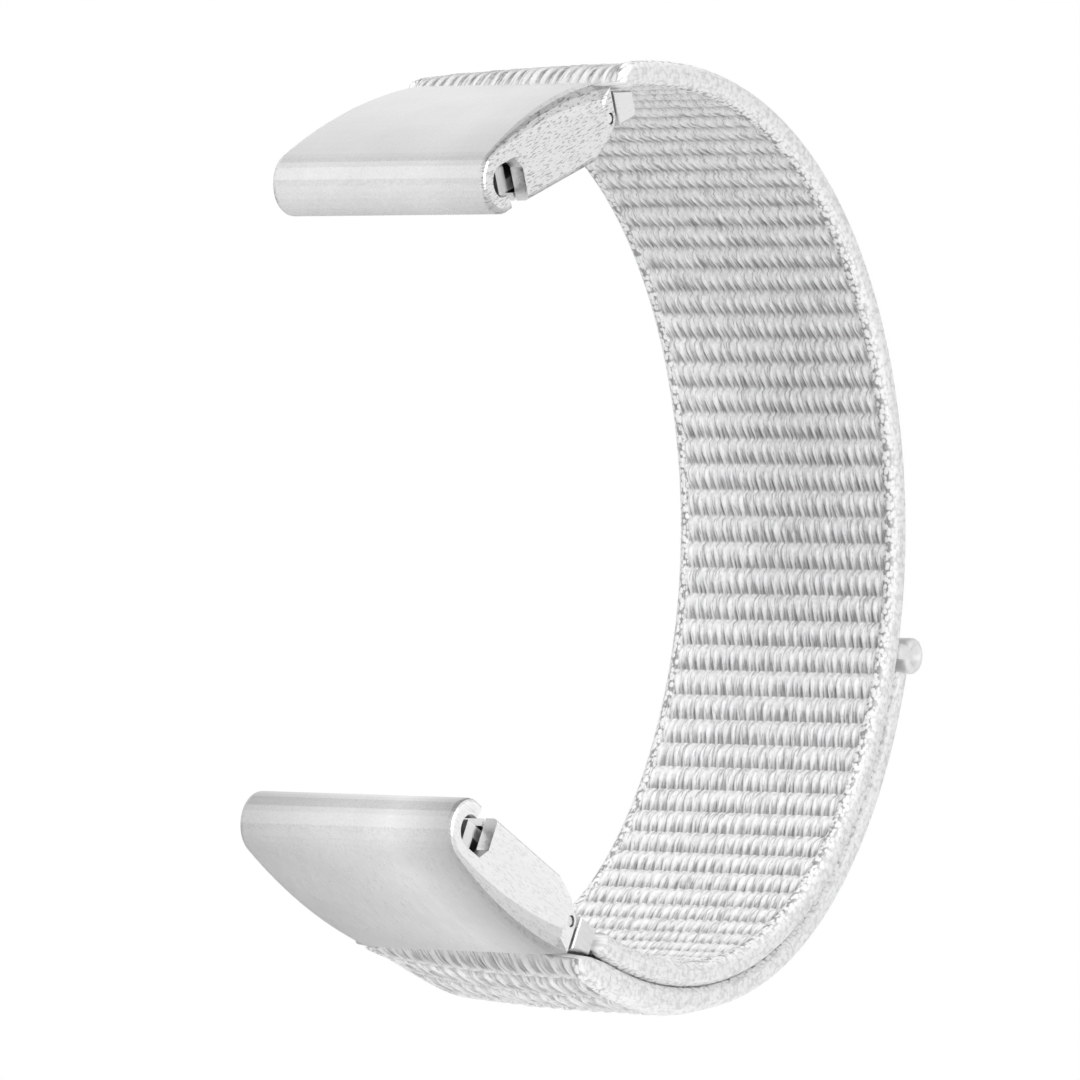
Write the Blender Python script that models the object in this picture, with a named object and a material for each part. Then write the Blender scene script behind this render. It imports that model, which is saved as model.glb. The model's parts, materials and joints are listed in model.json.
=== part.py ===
"""Woven nylon watch strap with a steel quick-release connector at each end.

The strap stands upright as a closed loop. The origin is the centre of the wrist opening on the
mid-width plane. +Z points to the upper connector, +X runs across the width and +Y points to the
back of the wrist. Lengths are in metres.

Each connector is drawn in its own frame, whose origin is its spring bar: x across the width,
p along the connector (negative towards the claw) and v away from the wrist.
"""

import math

import bmesh
import bpy
from mathutils import Vector

for old in list(bpy.data.objects):
    bpy.data.objects.remove(old, do_unlink=True)

# The loop that the band follows, as its middle line
PIN_HALF_SPAN = 0.0320
PIN_SETBACK = 0.0140
BACK_REACH = 0.0313
BACK_HEIGHT = -0.0014
UPPER_START_ALONG = 0.0029
UPPER_START_RISE = 0.0038
UPPER_START_DEGREES = 9.5
UPPER_FRONT_HANDLE = 0.0274
UPPER_BACK_HANDLE = 0.0209
LOWER_BACK_HANDLE = 0.0189
LOWER_FRONT_HANDLE = 0.0281
LOWER_END_ALONG = 0.0043
LOWER_END_RISE = 0.0016
LOWER_END_DEGREES = 18.2

# The cloth
BAND_WIDTH = 0.0220
BAND_THICKNESS = 0.0020
EDGE_ROUND_SHARE = 0.45
LAYER_GAP = 0.00025
HEM_LENGTH = 0.0046
HEM_THICKNESS = 0.0008
FOLD_THICKNESS = 0.0009
FOLD_GAP = 0.0002
FOLD_RISE = 0.0023
UPPER_FOLD_DEGREES = (300, 250, 205, 165, 130, 100)
UPPER_FOLD_SHARES = (0, 0, 0, 0.05, 0.45, 0.92)
LOWER_FOLD_DEGREES = (285, 240, 195, 155, 125, 98)
LOWER_FOLD_SHARES = (0, 0, 0, 0.1, 0.5, 0.95)
HALF_STEPS = 26
SPAN_STEPS = 4

# The tail, measured along the band from the band's lower end
TAIL_ROOT = 0.0015
TAIL_BREAK = 0.0270
TAIL_END = 0.0542
TAIL_SPLIT_GAP = 0.0003
TAIL_THICKNESS = 0.0018
TAIL_BULGE = 0.00065
TAIL_BULGE_FROM = 0.0080
TAIL_BULGE_TO = 0.0170
TAIL_STEP = 0.0016

# The hook pad and the pull tab
HOOK_START = 0.0330
HOOK_END = 0.0512
HOOK_MARGIN = 0.0020
HOOK_THICKNESS = 0.00035
HOOK_SEAT_GAP = 0.0002
TAB_HEIGHT = 0.0028
TAB_WEB_DEPTH = 0.0021
TAB_GAP = 0.0003
TAB_ROUND_STEPS = 8
TAB_EDGE_BEVEL = 0.0003

# The connector shell
CONNECTOR_TILT_DEGREES = 24.0
CONNECTOR_INSET = 0.0007
LUG_TO_PIN = 0.0160
NOSE_RADIUS = 0.0026
PLATE_WALL = 0.0013
PLATE_RISE = 0.0030
PLATE_BOW = 0.0007
PLATE_END = 0.00005
PLATE_CORNER = 0.0034
FLANGE_WALL = 0.0012
FLANGE_END = 0.0008
FLANGE_END_TOP = 0.00245
FLANGE_DEPTH = 0.00265
FLANGE_KINK = 0.0030
FLANGE_HEEL_ALONG = 0.0006
FLANGE_HEEL_DROP = 0.00175
SHELL_EDGE_BEVEL = 0.00045
PLATE_EDGE_ROUND = 0.0021
FLANGE_END_BEVEL = 0.00015
END_POINTS = 5
NOSE_TOP_DEGREES = 99.0
LIP_DEGREES = 285.0
BAR_SLOT_REAR = 0.0130
BAR_SLOT_SHOULDER = 0.0009
BAR_SLOT_SHOULDER_DROP = 0.0011
BLOCK_FRONT = 0.0052
BLOCK_REAR = 0.0022
SHELL_STEPS = 16
OVERRUN = 0.0030

# The spring bar
BAR_TUBE_RADIUS = 0.00075
BAR_TUBE_BORE = 0.0005
BAR_TUBE_END_GAP = 0.0004
TIP_SHANK_RADIUS = 0.00042
TIP_RADIUS = 0.00038
TIP_SHANK_LENGTH = 0.0022
TIP_SHANK_OUT = 0.0001
TIP_RECESS = 0.00015
TIP_HOLE_RADIUS = 0.00048
BAR_SPRING_RADIUS = 0.00033
BAR_SPRING_WIRE = 0.00007
BAR_SPRING_TURNS = 16
SPRING_END_GAP = 0.0001
ROUND_STEPS = 24

# The end link
LINK_BAR_ALONG = 0.0027
LINK_BAR_RISE = 0.0003
LINK_BAR_RADIUS = 0.0005
EAR_FRONT = 0.00115
EAR_REAR_WALL = 0.00045
EAR_BOTTOM = 0.00095
EAR_TOP_FRONT = 0.0019
EAR_TOP_REAR = 0.0012
EAR_EDGE_BEVEL = 0.0002
TONGUE_WALL = 0.0006
TONGUE_GAP = 0.0003
TONGUE_EYE_RADIUS = 0.0013
TONGUE_STEP = 0.0001
TONGUE_HEIGHT = 0.0007
CLOTH_CLEARANCE = 0.0003

# The quick-release latch
LUG_BAR_RADIUS = 0.0011
LATCH_CLEARANCE = 0.0003
LATCH_SIDE_GAP = 0.0004
LATCH_BOTTOM = 0.00165
LATCH_FLOOR_THICKNESS = 0.0010
LATCH_TOP = 0.0006
LATCH_TIP_LENGTH = 0.0012
LATCH_REAR = 0.0094
LATCH_WALL = 0.0010
LATCH_TRAVEL = 0.0020
PAD_HALF_WIDTH = 0.0045
PAD_FRONT = 0.0120
PAD_REAR = 0.0099
PAD_DEPTH = 0.0015
PAD_RIDGES = 3
PAD_RIDGE_DEPTH = 0.0003
LATCH_SPRING_SPREAD = 0.0030
LATCH_SPRING_DROP = 0.00035
LATCH_SPRING_RADIUS = 0.0006
LATCH_SPRING_WIRE = 0.00012
LATCH_SPRING_TURNS = 7

# The latch cover and its screws
COVER_FRONT = 0.0129
COVER_REAR = 0.0029
COVER_SIDE_GAP = 0.0003
COVER_TOP = 0.00195
COVER_THICKNESS = 0.00065
COVER_SEAT_GAP = 0.00005
SCREW_INSET = 0.0026
SCREW_ALONG = 0.0038
SCREW_HEAD_RADIUS = 0.00085
SCREW_HEAD_HEIGHT = 0.0003
SCREW_SHANK_RADIUS = 0.00042
SCREW_LENGTH = 0.0022
SCREW_CLEARANCE = 0.0001
SCREW_SLOT_WIDTH = 0.00022
SCREW_SLOT_DEPTH = 0.00014

# Points along one turn of a spring, and steps round a rounded edge
CURL_POINTS = 8
BEVEL_STEPS = 4

# Widths that follow from the ones above: the shell, the room in it, the tongues and the fold
SHELL_HALF = BAND_WIDTH / 2 - CONNECTOR_INSET
ROOM_HALF = SHELL_HALF - FLANGE_WALL
TONGUE_OUTER = ROOM_HALF - TONGUE_GAP
TONGUE_INNER = TONGUE_OUTER - TONGUE_WALL
FOLD_HALF = TONGUE_INNER - CLOTH_CLEARANCE
TUBE_HALF = TONGUE_INNER - BAR_TUBE_END_GAP
SCREW_PLACE = ROOM_HALF - SCREW_INSET


def make_material(name, colour, roughness, metallic):
    """Return a Principled material."""
    made = bpy.data.materials.new(name)
    made.use_nodes = True
    shader = made.node_tree.nodes["Principled BSDF"]
    shader.inputs["Base Color"].default_value = (*colour, 1.0)
    shader.inputs["Roughness"].default_value = roughness
    shader.inputs["Metallic"].default_value = metallic
    return made


def make_empty(name, location, rotation):
    """Return an empty that pieces are parented to."""
    empty = bpy.data.objects.new(name, None)
    empty.location = location
    empty.rotation_euler = rotation
    bpy.context.scene.collection.objects.link(empty)
    return empty


def make_object(name, form, colour, parent):
    """Turn a bmesh into a smooth-shaded object with its own material."""
    bmesh.ops.recalc_face_normals(form, faces=form.faces)
    mesh = bpy.data.meshes.new(name)
    form.to_mesh(mesh)
    form.free()
    mesh.shade_smooth()
    mesh.set_sharp_from_angle(angle=math.radians(30))
    mesh.materials.append(make_material(name, *colour))
    made = bpy.data.objects.new(name, mesh)
    bpy.context.scene.collection.objects.link(made)
    made.parent = parent
    return made


def make_tool(name, form, parent):
    """Turn a bmesh into a hidden object for a Boolean."""
    bmesh.ops.recalc_face_normals(form, faces=form.faces)
    mesh = bpy.data.meshes.new(name)
    form.to_mesh(mesh)
    form.free()
    tool = bpy.data.objects.new(name, mesh)
    tool.hide_render = True
    tool.display_type = "WIRE"
    bpy.context.scene.collection.objects.link(tool)
    tool.parent = parent
    return tool


def apply_tools(target, operation, tools):
    """Add one Boolean modifier for each tool."""
    for tool in tools:
        step = target.modifiers.new(tool.name, "BOOLEAN")
        step.operation = operation
        step.solver = "EXACT"
        step.object = tool


def inset(outline, amounts):
    """Move each point of a (p, v) outline inwards by its amount."""
    count = len(outline)
    area = sum(outline[i - 1][0] * outline[i][1] - outline[i][0] * outline[i - 1][1]
               for i in range(count))
    way = 1 if area > 0 else -1
    points = []
    for i in range(count):
        before = Vector(outline[i]) - Vector(outline[i - 1])
        after = Vector(outline[(i + 1) % count]) - Vector(outline[i])
        first = Vector((-before.y, before.x)).normalized()
        second = Vector((-after.y, after.x)).normalized()
        inwards = (first + second) * way / (1 + first.dot(second))
        points.append(Vector(outline[i]) + inwards * amounts[i])
    return points


def prism(outline, low, high, bevels=None):
    """Extrude a (p, v) outline along x, with the end edges rounded by a bevel for each point."""
    form = bmesh.new()
    count = len(outline)
    turns = [math.radians(90 * k / BEVEL_STEPS) for k in range(BEVEL_STEPS + 1)]
    if bevels is None:
        bevels = [0.0] * count
        turns = turns[:1]
    rings = []
    for end, way, order in ((low, 1, turns), (high, -1, list(reversed(turns)))):
        for turn in order:
            flat = inset(outline, [bevel * (1 - math.sin(turn)) for bevel in bevels])
            ring = []
            for bevel, (p, v) in zip(bevels, flat):
                ring.append(form.verts.new((end + way * bevel * (1 - math.cos(turn)), p, v)))
            rings.append(ring)
    form.faces.new(rings[0])
    form.faces.new(list(reversed(rings[-1])))
    for near, far in zip(rings[:-1], rings[1:]):
        for i in range(count):
            j = (i + 1) % count
            form.faces.new((near[i], far[i], far[j], near[j]))
    return form


def upright_prism(outline, low, high):
    """Extrude an (x, p) outline along v from low to high."""
    form = bmesh.new()
    under = [form.verts.new((x, p, low)) for x, p in outline]
    over = [form.verts.new((x, p, high)) for x, p in outline]
    form.faces.new(under)
    form.faces.new(list(reversed(over)))
    count = len(outline)
    for i in range(count):
        j = (i + 1) % count
        form.faces.new((under[i], over[i], over[j], under[j]))
    return form


def turned(profile, place, axis, hollow=False):
    """Turn an (along, radius) profile about a line through place along axis."""
    form = bmesh.new()
    along = Vector(axis)
    side = along.orthogonal().normalized()
    up = along.cross(side)
    rings = []
    for distance, radius in profile:
        ring = []
        for k in range(ROUND_STEPS):
            turn = 2 * math.pi * k / ROUND_STEPS
            spoke = side * math.cos(turn) + up * math.sin(turn)
            ring.append(form.verts.new(Vector(place) + along * distance + spoke * radius))
        rings.append(ring)
    pairs = list(zip(rings[:-1], rings[1:]))
    if hollow:
        pairs.append((rings[-1], rings[0]))
    else:
        form.faces.new(rings[0])
        form.faces.new(list(reversed(rings[-1])))
    for first, second in pairs:
        for k in range(ROUND_STEPS):
            m = (k + 1) % ROUND_STEPS
            form.faces.new((first[k], second[k], second[m], first[m]))
    return form


def make_spring(name, start, axis, length, radius, wire, turns, colour, parent):
    """Add a coil of round wire along axis as a curve with filled ends."""
    along = Vector(axis)
    side = along.orthogonal().normalized()
    up = along.cross(side)
    count = turns * CURL_POINTS + 1
    curve = bpy.data.curves.new(name, "CURVE")
    curve.dimensions = "3D"
    curve.bevel_depth = wire
    curve.bevel_resolution = 1
    curve.use_fill_caps = True
    line = curve.splines.new("POLY")
    line.points.add(count - 1)
    for i in range(count):
        turn = 2 * math.pi * i / CURL_POINTS
        spoke = side * math.cos(turn) + up * math.sin(turn)
        place = Vector(start) + along * (length * i / (count - 1)) + spoke * radius
        line.points[i].co = (*place, 1.0)
    curve.materials.append(make_material(name, *colour))
    spring = bpy.data.objects.new(name, curve)
    bpy.context.scene.collection.objects.link(spring)
    spring.parent = parent
    print(name, "least gap between turns in mm:", round((length / turns - 2 * wire) * 1000, 3))
    return spring


def arc(centre, radius, first, last, steps):
    """Return points on a circle from the first to the last angle, in degrees."""
    points = []
    for i in range(steps + 1):
        turn = math.radians(first + (last - first) * i / steps)
        points.append((centre[0] + radius * math.cos(turn), centre[1] + radius * math.sin(turn)))
    return points


def bowed(first, last, bow, steps):
    """Return points from first to last that bow to the left of the way by bow."""
    dp = last[0] - first[0]
    dv = last[1] - first[1]
    length = math.hypot(dp, dv)
    points = []
    for i in range(steps + 1):
        share = i / steps
        rise = 4 * bow * share * (1 - share)
        points.append((first[0] + dp * share - dv / length * rise,
                       first[1] + dv * share + dp / length * rise))
    return points


def smooth_path(knots):
    """Return a Catmull-Rom path through (y, z, thickness, width) knots, without the last one."""
    path = []
    padded = [knots[0]] + knots + [knots[-1]]
    for i in range(1, len(padded) - 2):
        before, start, end, after = padded[i - 1:i + 3]
        for k in range(SPAN_STEPS):
            t = k / SPAN_STEPS
            y, z, thickness, width = (
                0.5 * (2 * b + (c - a) * t + (2 * a - 5 * b + 4 * c - d) * t * t
                       + (3 * b - a - 3 * c + d) * t ** 3)
                for a, b, c, d in zip(before, start, end, after))
            path.append((y, z, thickness, min(width, BAND_WIDTH)))
    return path


def bezier(first, first_handle, last_handle, last, steps):
    """Return points of a cubic curve from first to last."""
    points = []
    for i in range(steps + 1):
        t = i / steps
        u = 1 - t
        points.append(tuple(
            a * u ** 3 + 3 * b * u * u * t + 3 * c * u * t * t + d * t ** 3
            for a, b, c, d in zip(first, first_handle, last_handle, last)))
    return points


def at_pin(end, y, z):
    """Place a point given from the pin of an end, 1 for upper or -1 for lower, in (Y, Z)."""
    return (y - PIN_SETBACK, end * (PIN_HALF_SPAN + z))


def from_connector(p, v):
    """Turn a point of the tilted connector frame into one that is level at the pin."""
    tilt = math.radians(CONNECTOR_TILT_DEGREES)
    return (p * math.cos(tilt) - v * math.sin(tilt), p * math.sin(tilt) + v * math.cos(tilt))


def band_line():
    """Return the band's middle line from the upper connector to the lower one."""
    start = at_pin(1, UPPER_START_ALONG, UPPER_START_RISE)
    rise = math.radians(UPPER_START_DEGREES)
    start_handle = (start[0] + UPPER_FRONT_HANDLE * math.cos(rise),
                    start[1] + UPPER_FRONT_HANDLE * math.sin(rise))
    back = (BACK_REACH, BACK_HEIGHT)
    back_over = (BACK_REACH, BACK_HEIGHT + UPPER_BACK_HANDLE)
    back_under = (BACK_REACH, BACK_HEIGHT - LOWER_BACK_HANDLE)
    finish = at_pin(-1, LOWER_END_ALONG, LOWER_END_RISE)
    fall = math.radians(LOWER_END_DEGREES)
    finish_handle = (finish[0] + LOWER_FRONT_HANDLE * math.cos(fall),
                     finish[1] - LOWER_FRONT_HANDLE * math.sin(fall))
    upper = bezier(start, start_handle, back_over, back, HALF_STEPS)
    lower = bezier(back, back_under, finish_handle, finish, HALF_STEPS)
    return upper + lower[1:]


def outward(points, i):
    """Return the unit normal of a path at point i, to the left of its way."""
    before = points[max(i - 1, 0)]
    after = points[min(i + 1, len(points) - 1)]
    dy = after[0] - before[0]
    dz = after[1] - before[1]
    length = math.hypot(dy, dz)
    return (-dz / length, dy / length)


def beside(line, distance, offset):
    """Return the point at a distance along a line, moved outwards by offset."""
    walked = 0.0
    for i in range(len(line) - 1):
        step = math.dist(line[i], line[i + 1])
        if walked + step >= distance or i == len(line) - 2:
            share = (distance - walked) / step
            first = outward(line, i)
            second = outward(line, i + 1)
            return tuple(
                a + (b - a) * share + (m + (n - m) * share) * offset
                for a, b, m, n in zip(line[i], line[i + 1], first, second))
        walked += step
    return line[-1]


def cloth_strip(stations):
    """Sweep a strip with rounded edges along (y, z, thickness, width) stations."""
    form = bmesh.new()
    loops = []
    for i, (y, z, thickness, width) in enumerate(stations):
        ny, nz = outward(stations, i)
        radius = thickness * EDGE_ROUND_SHARE
        loop = []
        for side_x, side_n, first in ((1, -1, 270), (1, 1, 0), (-1, 1, 90), (-1, -1, 180)):
            centre = (side_x * (width / 2 - radius), side_n * (thickness / 2 - radius))
            for x, n in arc(centre, radius, first, first + 90, 2):
                loop.append(form.verts.new((x, y + ny * n, z + nz * n)))
        loops.append(loop)
    count = len(loops[0])
    for first, second in zip(loops[:-1], loops[1:]):
        for k in range(count):
            m = (k + 1) % count
            form.faces.new((first[k], second[k], second[m], first[m]))
    form.faces.new(loops[0])
    form.faces.new(list(reversed(loops[-1])))
    return form


def fold_knots(end, angles, rise_shares):
    """Return band knots round an end link's bar, at angles in degrees and shares of the rise."""
    centre = from_connector(LINK_BAR_ALONG, LINK_BAR_RISE)
    tight = LINK_BAR_RADIUS + FOLD_GAP + FOLD_THICKNESS / 2
    knots = []
    for degrees, rise_share in zip(angles, rise_shares):
        radius = tight + (FOLD_RISE - tight) * rise_share
        thickness = FOLD_THICKNESS + (BAND_THICKNESS - FOLD_THICKNESS) * rise_share
        width = BAND_WIDTH if rise_share > 0 or end < 0 else 2 * FOLD_HALF
        turn = math.radians(degrees)
        y = centre[0] + radius * math.cos(turn)
        z = centre[1] + radius * math.sin(turn)
        knots.append((*at_pin(end, y, z), thickness, width))
    return knots


def plain_tail(distance):
    """Return the thickness of the tail without its hook pad, fuller towards its root."""
    share = (distance - TAIL_BULGE_FROM) / (TAIL_BULGE_TO - TAIL_BULGE_FROM)
    share = min(max(share, 0.0), 1.0)
    return TAIL_THICKNESS + TAIL_BULGE * (1 - share * share * (3 - 2 * share))


def tail_outer(distance):
    """Return how far the tail's outer face lies from the band's middle line."""
    return BAND_THICKNESS / 2 + LAYER_GAP + plain_tail(distance)


def tail_stations(line, first, last, thickness):
    """Return stations of the tail between two distances, given its thickness."""
    steps = max(2, round((last - first) / TAIL_STEP))
    stations = []
    for i in range(steps + 1):
        distance = first + (last - first) * i / steps
        here = thickness(distance)
        place = beside(line, distance, -(tail_outer(distance) - here / 2))
        stations.append((*place, here, BAND_WIDTH))
    return stations


def padded_tail(distance):
    """Return the thickness of the tail, thinner where the hook pad lies under it."""
    if HOOK_START - TAIL_STEP < distance < HOOK_END + TAIL_STEP:
        return plain_tail(distance) - HOOK_THICKNESS - HOOK_SEAT_GAP
    return plain_tail(distance)


CLOTH = ((0.86, 0.86, 0.87), 0.85, 0.0)
HOOK = ((0.80, 0.80, 0.81), 0.7, 0.0)
GLOSS = ((0.88, 0.88, 0.88), 0.3, 0.0)
STEEL = ((0.66, 0.66, 0.67), 0.32, 1.0)
DARK_STEEL = ((0.42, 0.42, 0.43), 0.35, 1.0)


def make_band(centre):
    """The long strip with its hem, from the upper fold to the root of the tail."""
    line = band_line()
    backwards = list(reversed(line))
    hem_offset = -(BAND_THICKNESS / 2 + LAYER_GAP + HEM_THICKNESS / 2)
    hem = [(*beside(line, HEM_LENGTH, hem_offset), HEM_THICKNESS, 2 * FOLD_HALF)]
    upper = fold_knots(1, UPPER_FOLD_DEGREES, UPPER_FOLD_SHARES)
    lower = fold_knots(-1, LOWER_FOLD_DEGREES, LOWER_FOLD_SHARES)
    root_thickness = plain_tail(TAIL_ROOT)
    root_place = beside(backwards, TAIL_ROOT, -(tail_outer(TAIL_ROOT) - root_thickness / 2))
    root = [(*root_place, root_thickness, BAND_WIDTH)]
    start = (*line[0], BAND_THICKNESS, BAND_WIDTH)
    finish = (*line[-1], BAND_THICKNESS, BAND_WIDTH)
    stations = smooth_path(hem + upper + [start])
    stations += [(y, z, BAND_THICKNESS, BAND_WIDTH) for y, z in line[:-1]]
    stations += smooth_path([finish] + lower + root)
    stations += root
    band = make_object("band_webbing", cloth_strip(stations), CLOTH, centre)
    rear = LINK_BAR_ALONG + LINK_BAR_RADIUS + EAR_REAR_WALL + CLOTH_CLEARANCE
    pocket = [
        (-OVERRUN, -OVERRUN),
        (rear, -OVERRUN),
        (rear, EAR_TOP_REAR),
        (rear - CLOTH_CLEARANCE, EAR_TOP_REAR + CLOTH_CLEARANCE),
        (EAR_FRONT, EAR_TOP_FRONT + CLOTH_CLEARANCE),
        (-OVERRUN, EAR_TOP_FRONT + CLOTH_CLEARANCE),
    ]
    tools = []
    for end in (1, -1):
        outline = [at_pin(end, *from_connector(p, v)) for p, v in pocket]
        for side in (1, -1):
            near = side * FOLD_HALF
            far = side * (BAND_WIDTH / 2 + OVERRUN)
            form = prism(outline, min(near, far), max(near, far))
            tools.append(make_tool("ear_pocket_tool", form, centre))
    apply_tools(band, "DIFFERENCE", tools)


def make_tail(centre):
    """The two halves of the tail, the hook pad and the pull tab."""
    backwards = list(reversed(band_line()))
    root = TAIL_ROOT + TAIL_SPLIT_GAP
    lower_form = cloth_strip(tail_stations(backwards, root, TAIL_BREAK, padded_tail))
    upper_first = TAIL_BREAK + TAIL_SPLIT_GAP
    upper_form = cloth_strip(tail_stations(backwards, upper_first, TAIL_END, padded_tail))
    hinges = []
    for name, distance in (("tail_root_hinge", TAIL_ROOT), ("tail_middle_hinge", TAIL_BREAK)):
        middle = distance + TAIL_SPLIT_GAP / 2
        y, z = beside(backwards, middle, -tail_outer(middle))
        print(name, "at Y, Z in mm:", round(y * 1000, 4), round(z * 1000, 4))
        hinges.append((y, z))
    lower_axis = make_empty("tail_root_hinge", (0, *hinges[0]), (0, 0, 0))
    upper_axis = make_empty("tail_middle_hinge", (0, *hinges[1]), (0, 0, 0))
    for form, (y, z) in ((lower_form, hinges[0]), (upper_form, hinges[1])):
        bmesh.ops.translate(form, verts=form.verts, vec=(0, -y, -z))
    make_object("tail_lower", lower_form, CLOTH, lower_axis)
    make_object("tail_upper", upper_form, CLOTH, upper_axis)

    pad_offset = BAND_THICKNESS / 2 + LAYER_GAP + HOOK_THICKNESS / 2
    steps = max(2, round((HOOK_END - HOOK_START) / TAIL_STEP))
    pad = []
    for i in range(steps + 1):
        distance = HOOK_START + (HOOK_END - HOOK_START) * i / steps
        place = beside(backwards, distance, -pad_offset)
        pad.append((*place, HOOK_THICKNESS, BAND_WIDTH - 2 * HOOK_MARGIN))
    pad_form = cloth_strip(pad)
    bmesh.ops.translate(pad_form, verts=pad_form.verts, vec=(0, -hinges[1][0], -hinges[1][1]))
    make_object("hook_pad", pad_form, HOOK, upper_axis)

    base = BAND_THICKNESS / 2 + LAYER_GAP
    half = TAB_HEIGHT / 2
    section = [(0, base), (TAB_HEIGHT, base)]
    section += arc((half, base + TAB_WEB_DEPTH), half, 0, 180, TAB_ROUND_STEPS)
    outline = []
    for along, offset in section:
        y, z = beside(backwards, TAIL_END + TAB_GAP + along, -offset)
        outline.append((y - hinges[1][0], z - hinges[1][1]))
    tab_form = prism(outline, -BAND_WIDTH / 2, BAND_WIDTH / 2, [TAB_EDGE_BEVEL] * len(outline))
    make_object("pull_tab", tab_form, GLOSS, upper_axis)


def plate_line(depth):
    """Return the plate's outer line from nose to end, or a line at a depth below it."""
    nose = (-LUG_TO_PIN, 0.0)
    first = arc(nose, NOSE_RADIUS - depth, NOSE_TOP_DEGREES, NOSE_TOP_DEGREES, 1)[0]
    return bowed(first, (0.0, PLATE_RISE - depth), PLATE_BOW, SHELL_STEPS)


def make_shell(name, frame):
    """The steel plate with its flanges, claw and screw block, rounded most along the plate."""
    nose = (-LUG_TO_PIN, 0.0)
    outline = plate_line(0.0)
    outline += [(FLANGE_END, FLANGE_END_TOP)]
    outline += arc((0, 0), FLANGE_END, 0, -45, END_POINTS - 2)
    outline += [(-FLANGE_HEEL_ALONG, -FLANGE_HEEL_DROP), (-FLANGE_KINK, -FLANGE_DEPTH)]
    outline += arc(nose, NOSE_RADIUS, 280, NOSE_TOP_DEGREES, SHELL_STEPS)[:-1]
    growth = (PLATE_EDGE_ROUND - SHELL_EDGE_BEVEL) / SHELL_STEPS
    bevels = [SHELL_EDGE_BEVEL + growth * i for i in range(SHELL_STEPS + 1)]
    bevels += [FLANGE_END_BEVEL] * END_POINTS
    bevels += [SHELL_EDGE_BEVEL] * (len(outline) - len(bevels))
    form = prism(outline, -SHELL_HALF, SHELL_HALF, bevels)
    shell = make_object(name, form, STEEL, frame)

    bore = NOSE_RADIUS - PLATE_WALL
    inner = [point for point in reversed(plate_line(PLATE_WALL)) if point[0] < -BLOCK_FRONT]
    claw = arc(nose, bore, NOSE_TOP_DEGREES, LIP_DEGREES, SHELL_STEPS)[1:]
    lip = arc(nose, NOSE_RADIUS + OVERRUN, LIP_DEGREES, LIP_DEGREES, 1)[:1]
    top_inside = plate_line(PLATE_WALL)
    front_top = [point[1] for point in top_inside if point[0] < -BLOCK_FRONT][-1]
    low = -FLANGE_DEPTH - OVERRUN
    latch_room = [(-BLOCK_FRONT, front_top)] + inner + claw + lip
    latch_room += [(lip[0][0], low), (-BLOCK_FRONT, low)]
    link_room = [point for point in top_inside if point[0] > -BLOCK_REAR]
    link_room = [(-BLOCK_REAR, link_room[0][1])] + link_room
    link_room += [(OVERRUN, link_room[-1][1]), (OVERRUN, low), (-BLOCK_REAR, low)]
    cover_room = [
        (-BLOCK_FRONT - OVERRUN, -COVER_TOP + COVER_SEAT_GAP),
        (OVERRUN, -COVER_TOP + COVER_SEAT_GAP),
        (OVERRUN, low),
        (-BLOCK_FRONT - OVERRUN, low),
    ]
    slot = arc(nose, bore, 90, LIP_DEGREES, SHELL_STEPS) + lip + [(lip[0][0], low)]
    slot += [(-BAR_SLOT_REAR, low), (-BAR_SLOT_REAR, bore - BAR_SLOT_SHOULDER_DROP)]
    slot += [(-BAR_SLOT_REAR - BAR_SLOT_SHOULDER, bore)]
    wide = SHELL_HALF + OVERRUN
    tools = [
        make_tool("latch_room_tool", prism(latch_room, -ROOM_HALF, ROOM_HALF), frame),
        make_tool("link_room_tool", prism(link_room, -ROOM_HALF, ROOM_HALF), frame),
        make_tool("cover_room_tool", prism(cover_room, -ROOM_HALF, ROOM_HALF), frame),
        make_tool("bar_slot_tool", prism(slot, -wide, wide), frame),
    ]
    straight = SHELL_HALF - PLATE_CORNER
    corner = PLATE_END + (FLANGE_END - PLATE_END) / PLATE_CORNER * (wide - straight)
    plan = [
        (-straight, PLATE_END),
        (straight, PLATE_END),
        (wide, corner),
        (wide, corner + OVERRUN),
        (-wide, corner + OVERRUN),
        (-wide, corner),
    ]
    end_form = upright_prism(plan, BAR_TUBE_RADIUS, PLATE_RISE + OVERRUN)
    tools.append(make_tool("plate_end_tool", end_form, frame))
    reach = [(-wide, TIP_HOLE_RADIUS), (wide, TIP_HOLE_RADIUS)]
    tools.append(make_tool("tip_hole_tool", turned(reach, (0, 0, 0), (1, 0, 0)), frame))
    depth = [(-OVERRUN, SCREW_SHANK_RADIUS + SCREW_CLEARANCE)]
    depth += [(SCREW_LENGTH, SCREW_SHANK_RADIUS + SCREW_CLEARANCE)]
    for side in (1, -1):
        place = (side * SCREW_PLACE, -SCREW_ALONG, -COVER_TOP)
        tools.append(make_tool("screw_hole_tool", turned(depth, place, (0, 0, 1)), frame))
    apply_tools(shell, "DIFFERENCE", tools)


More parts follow.
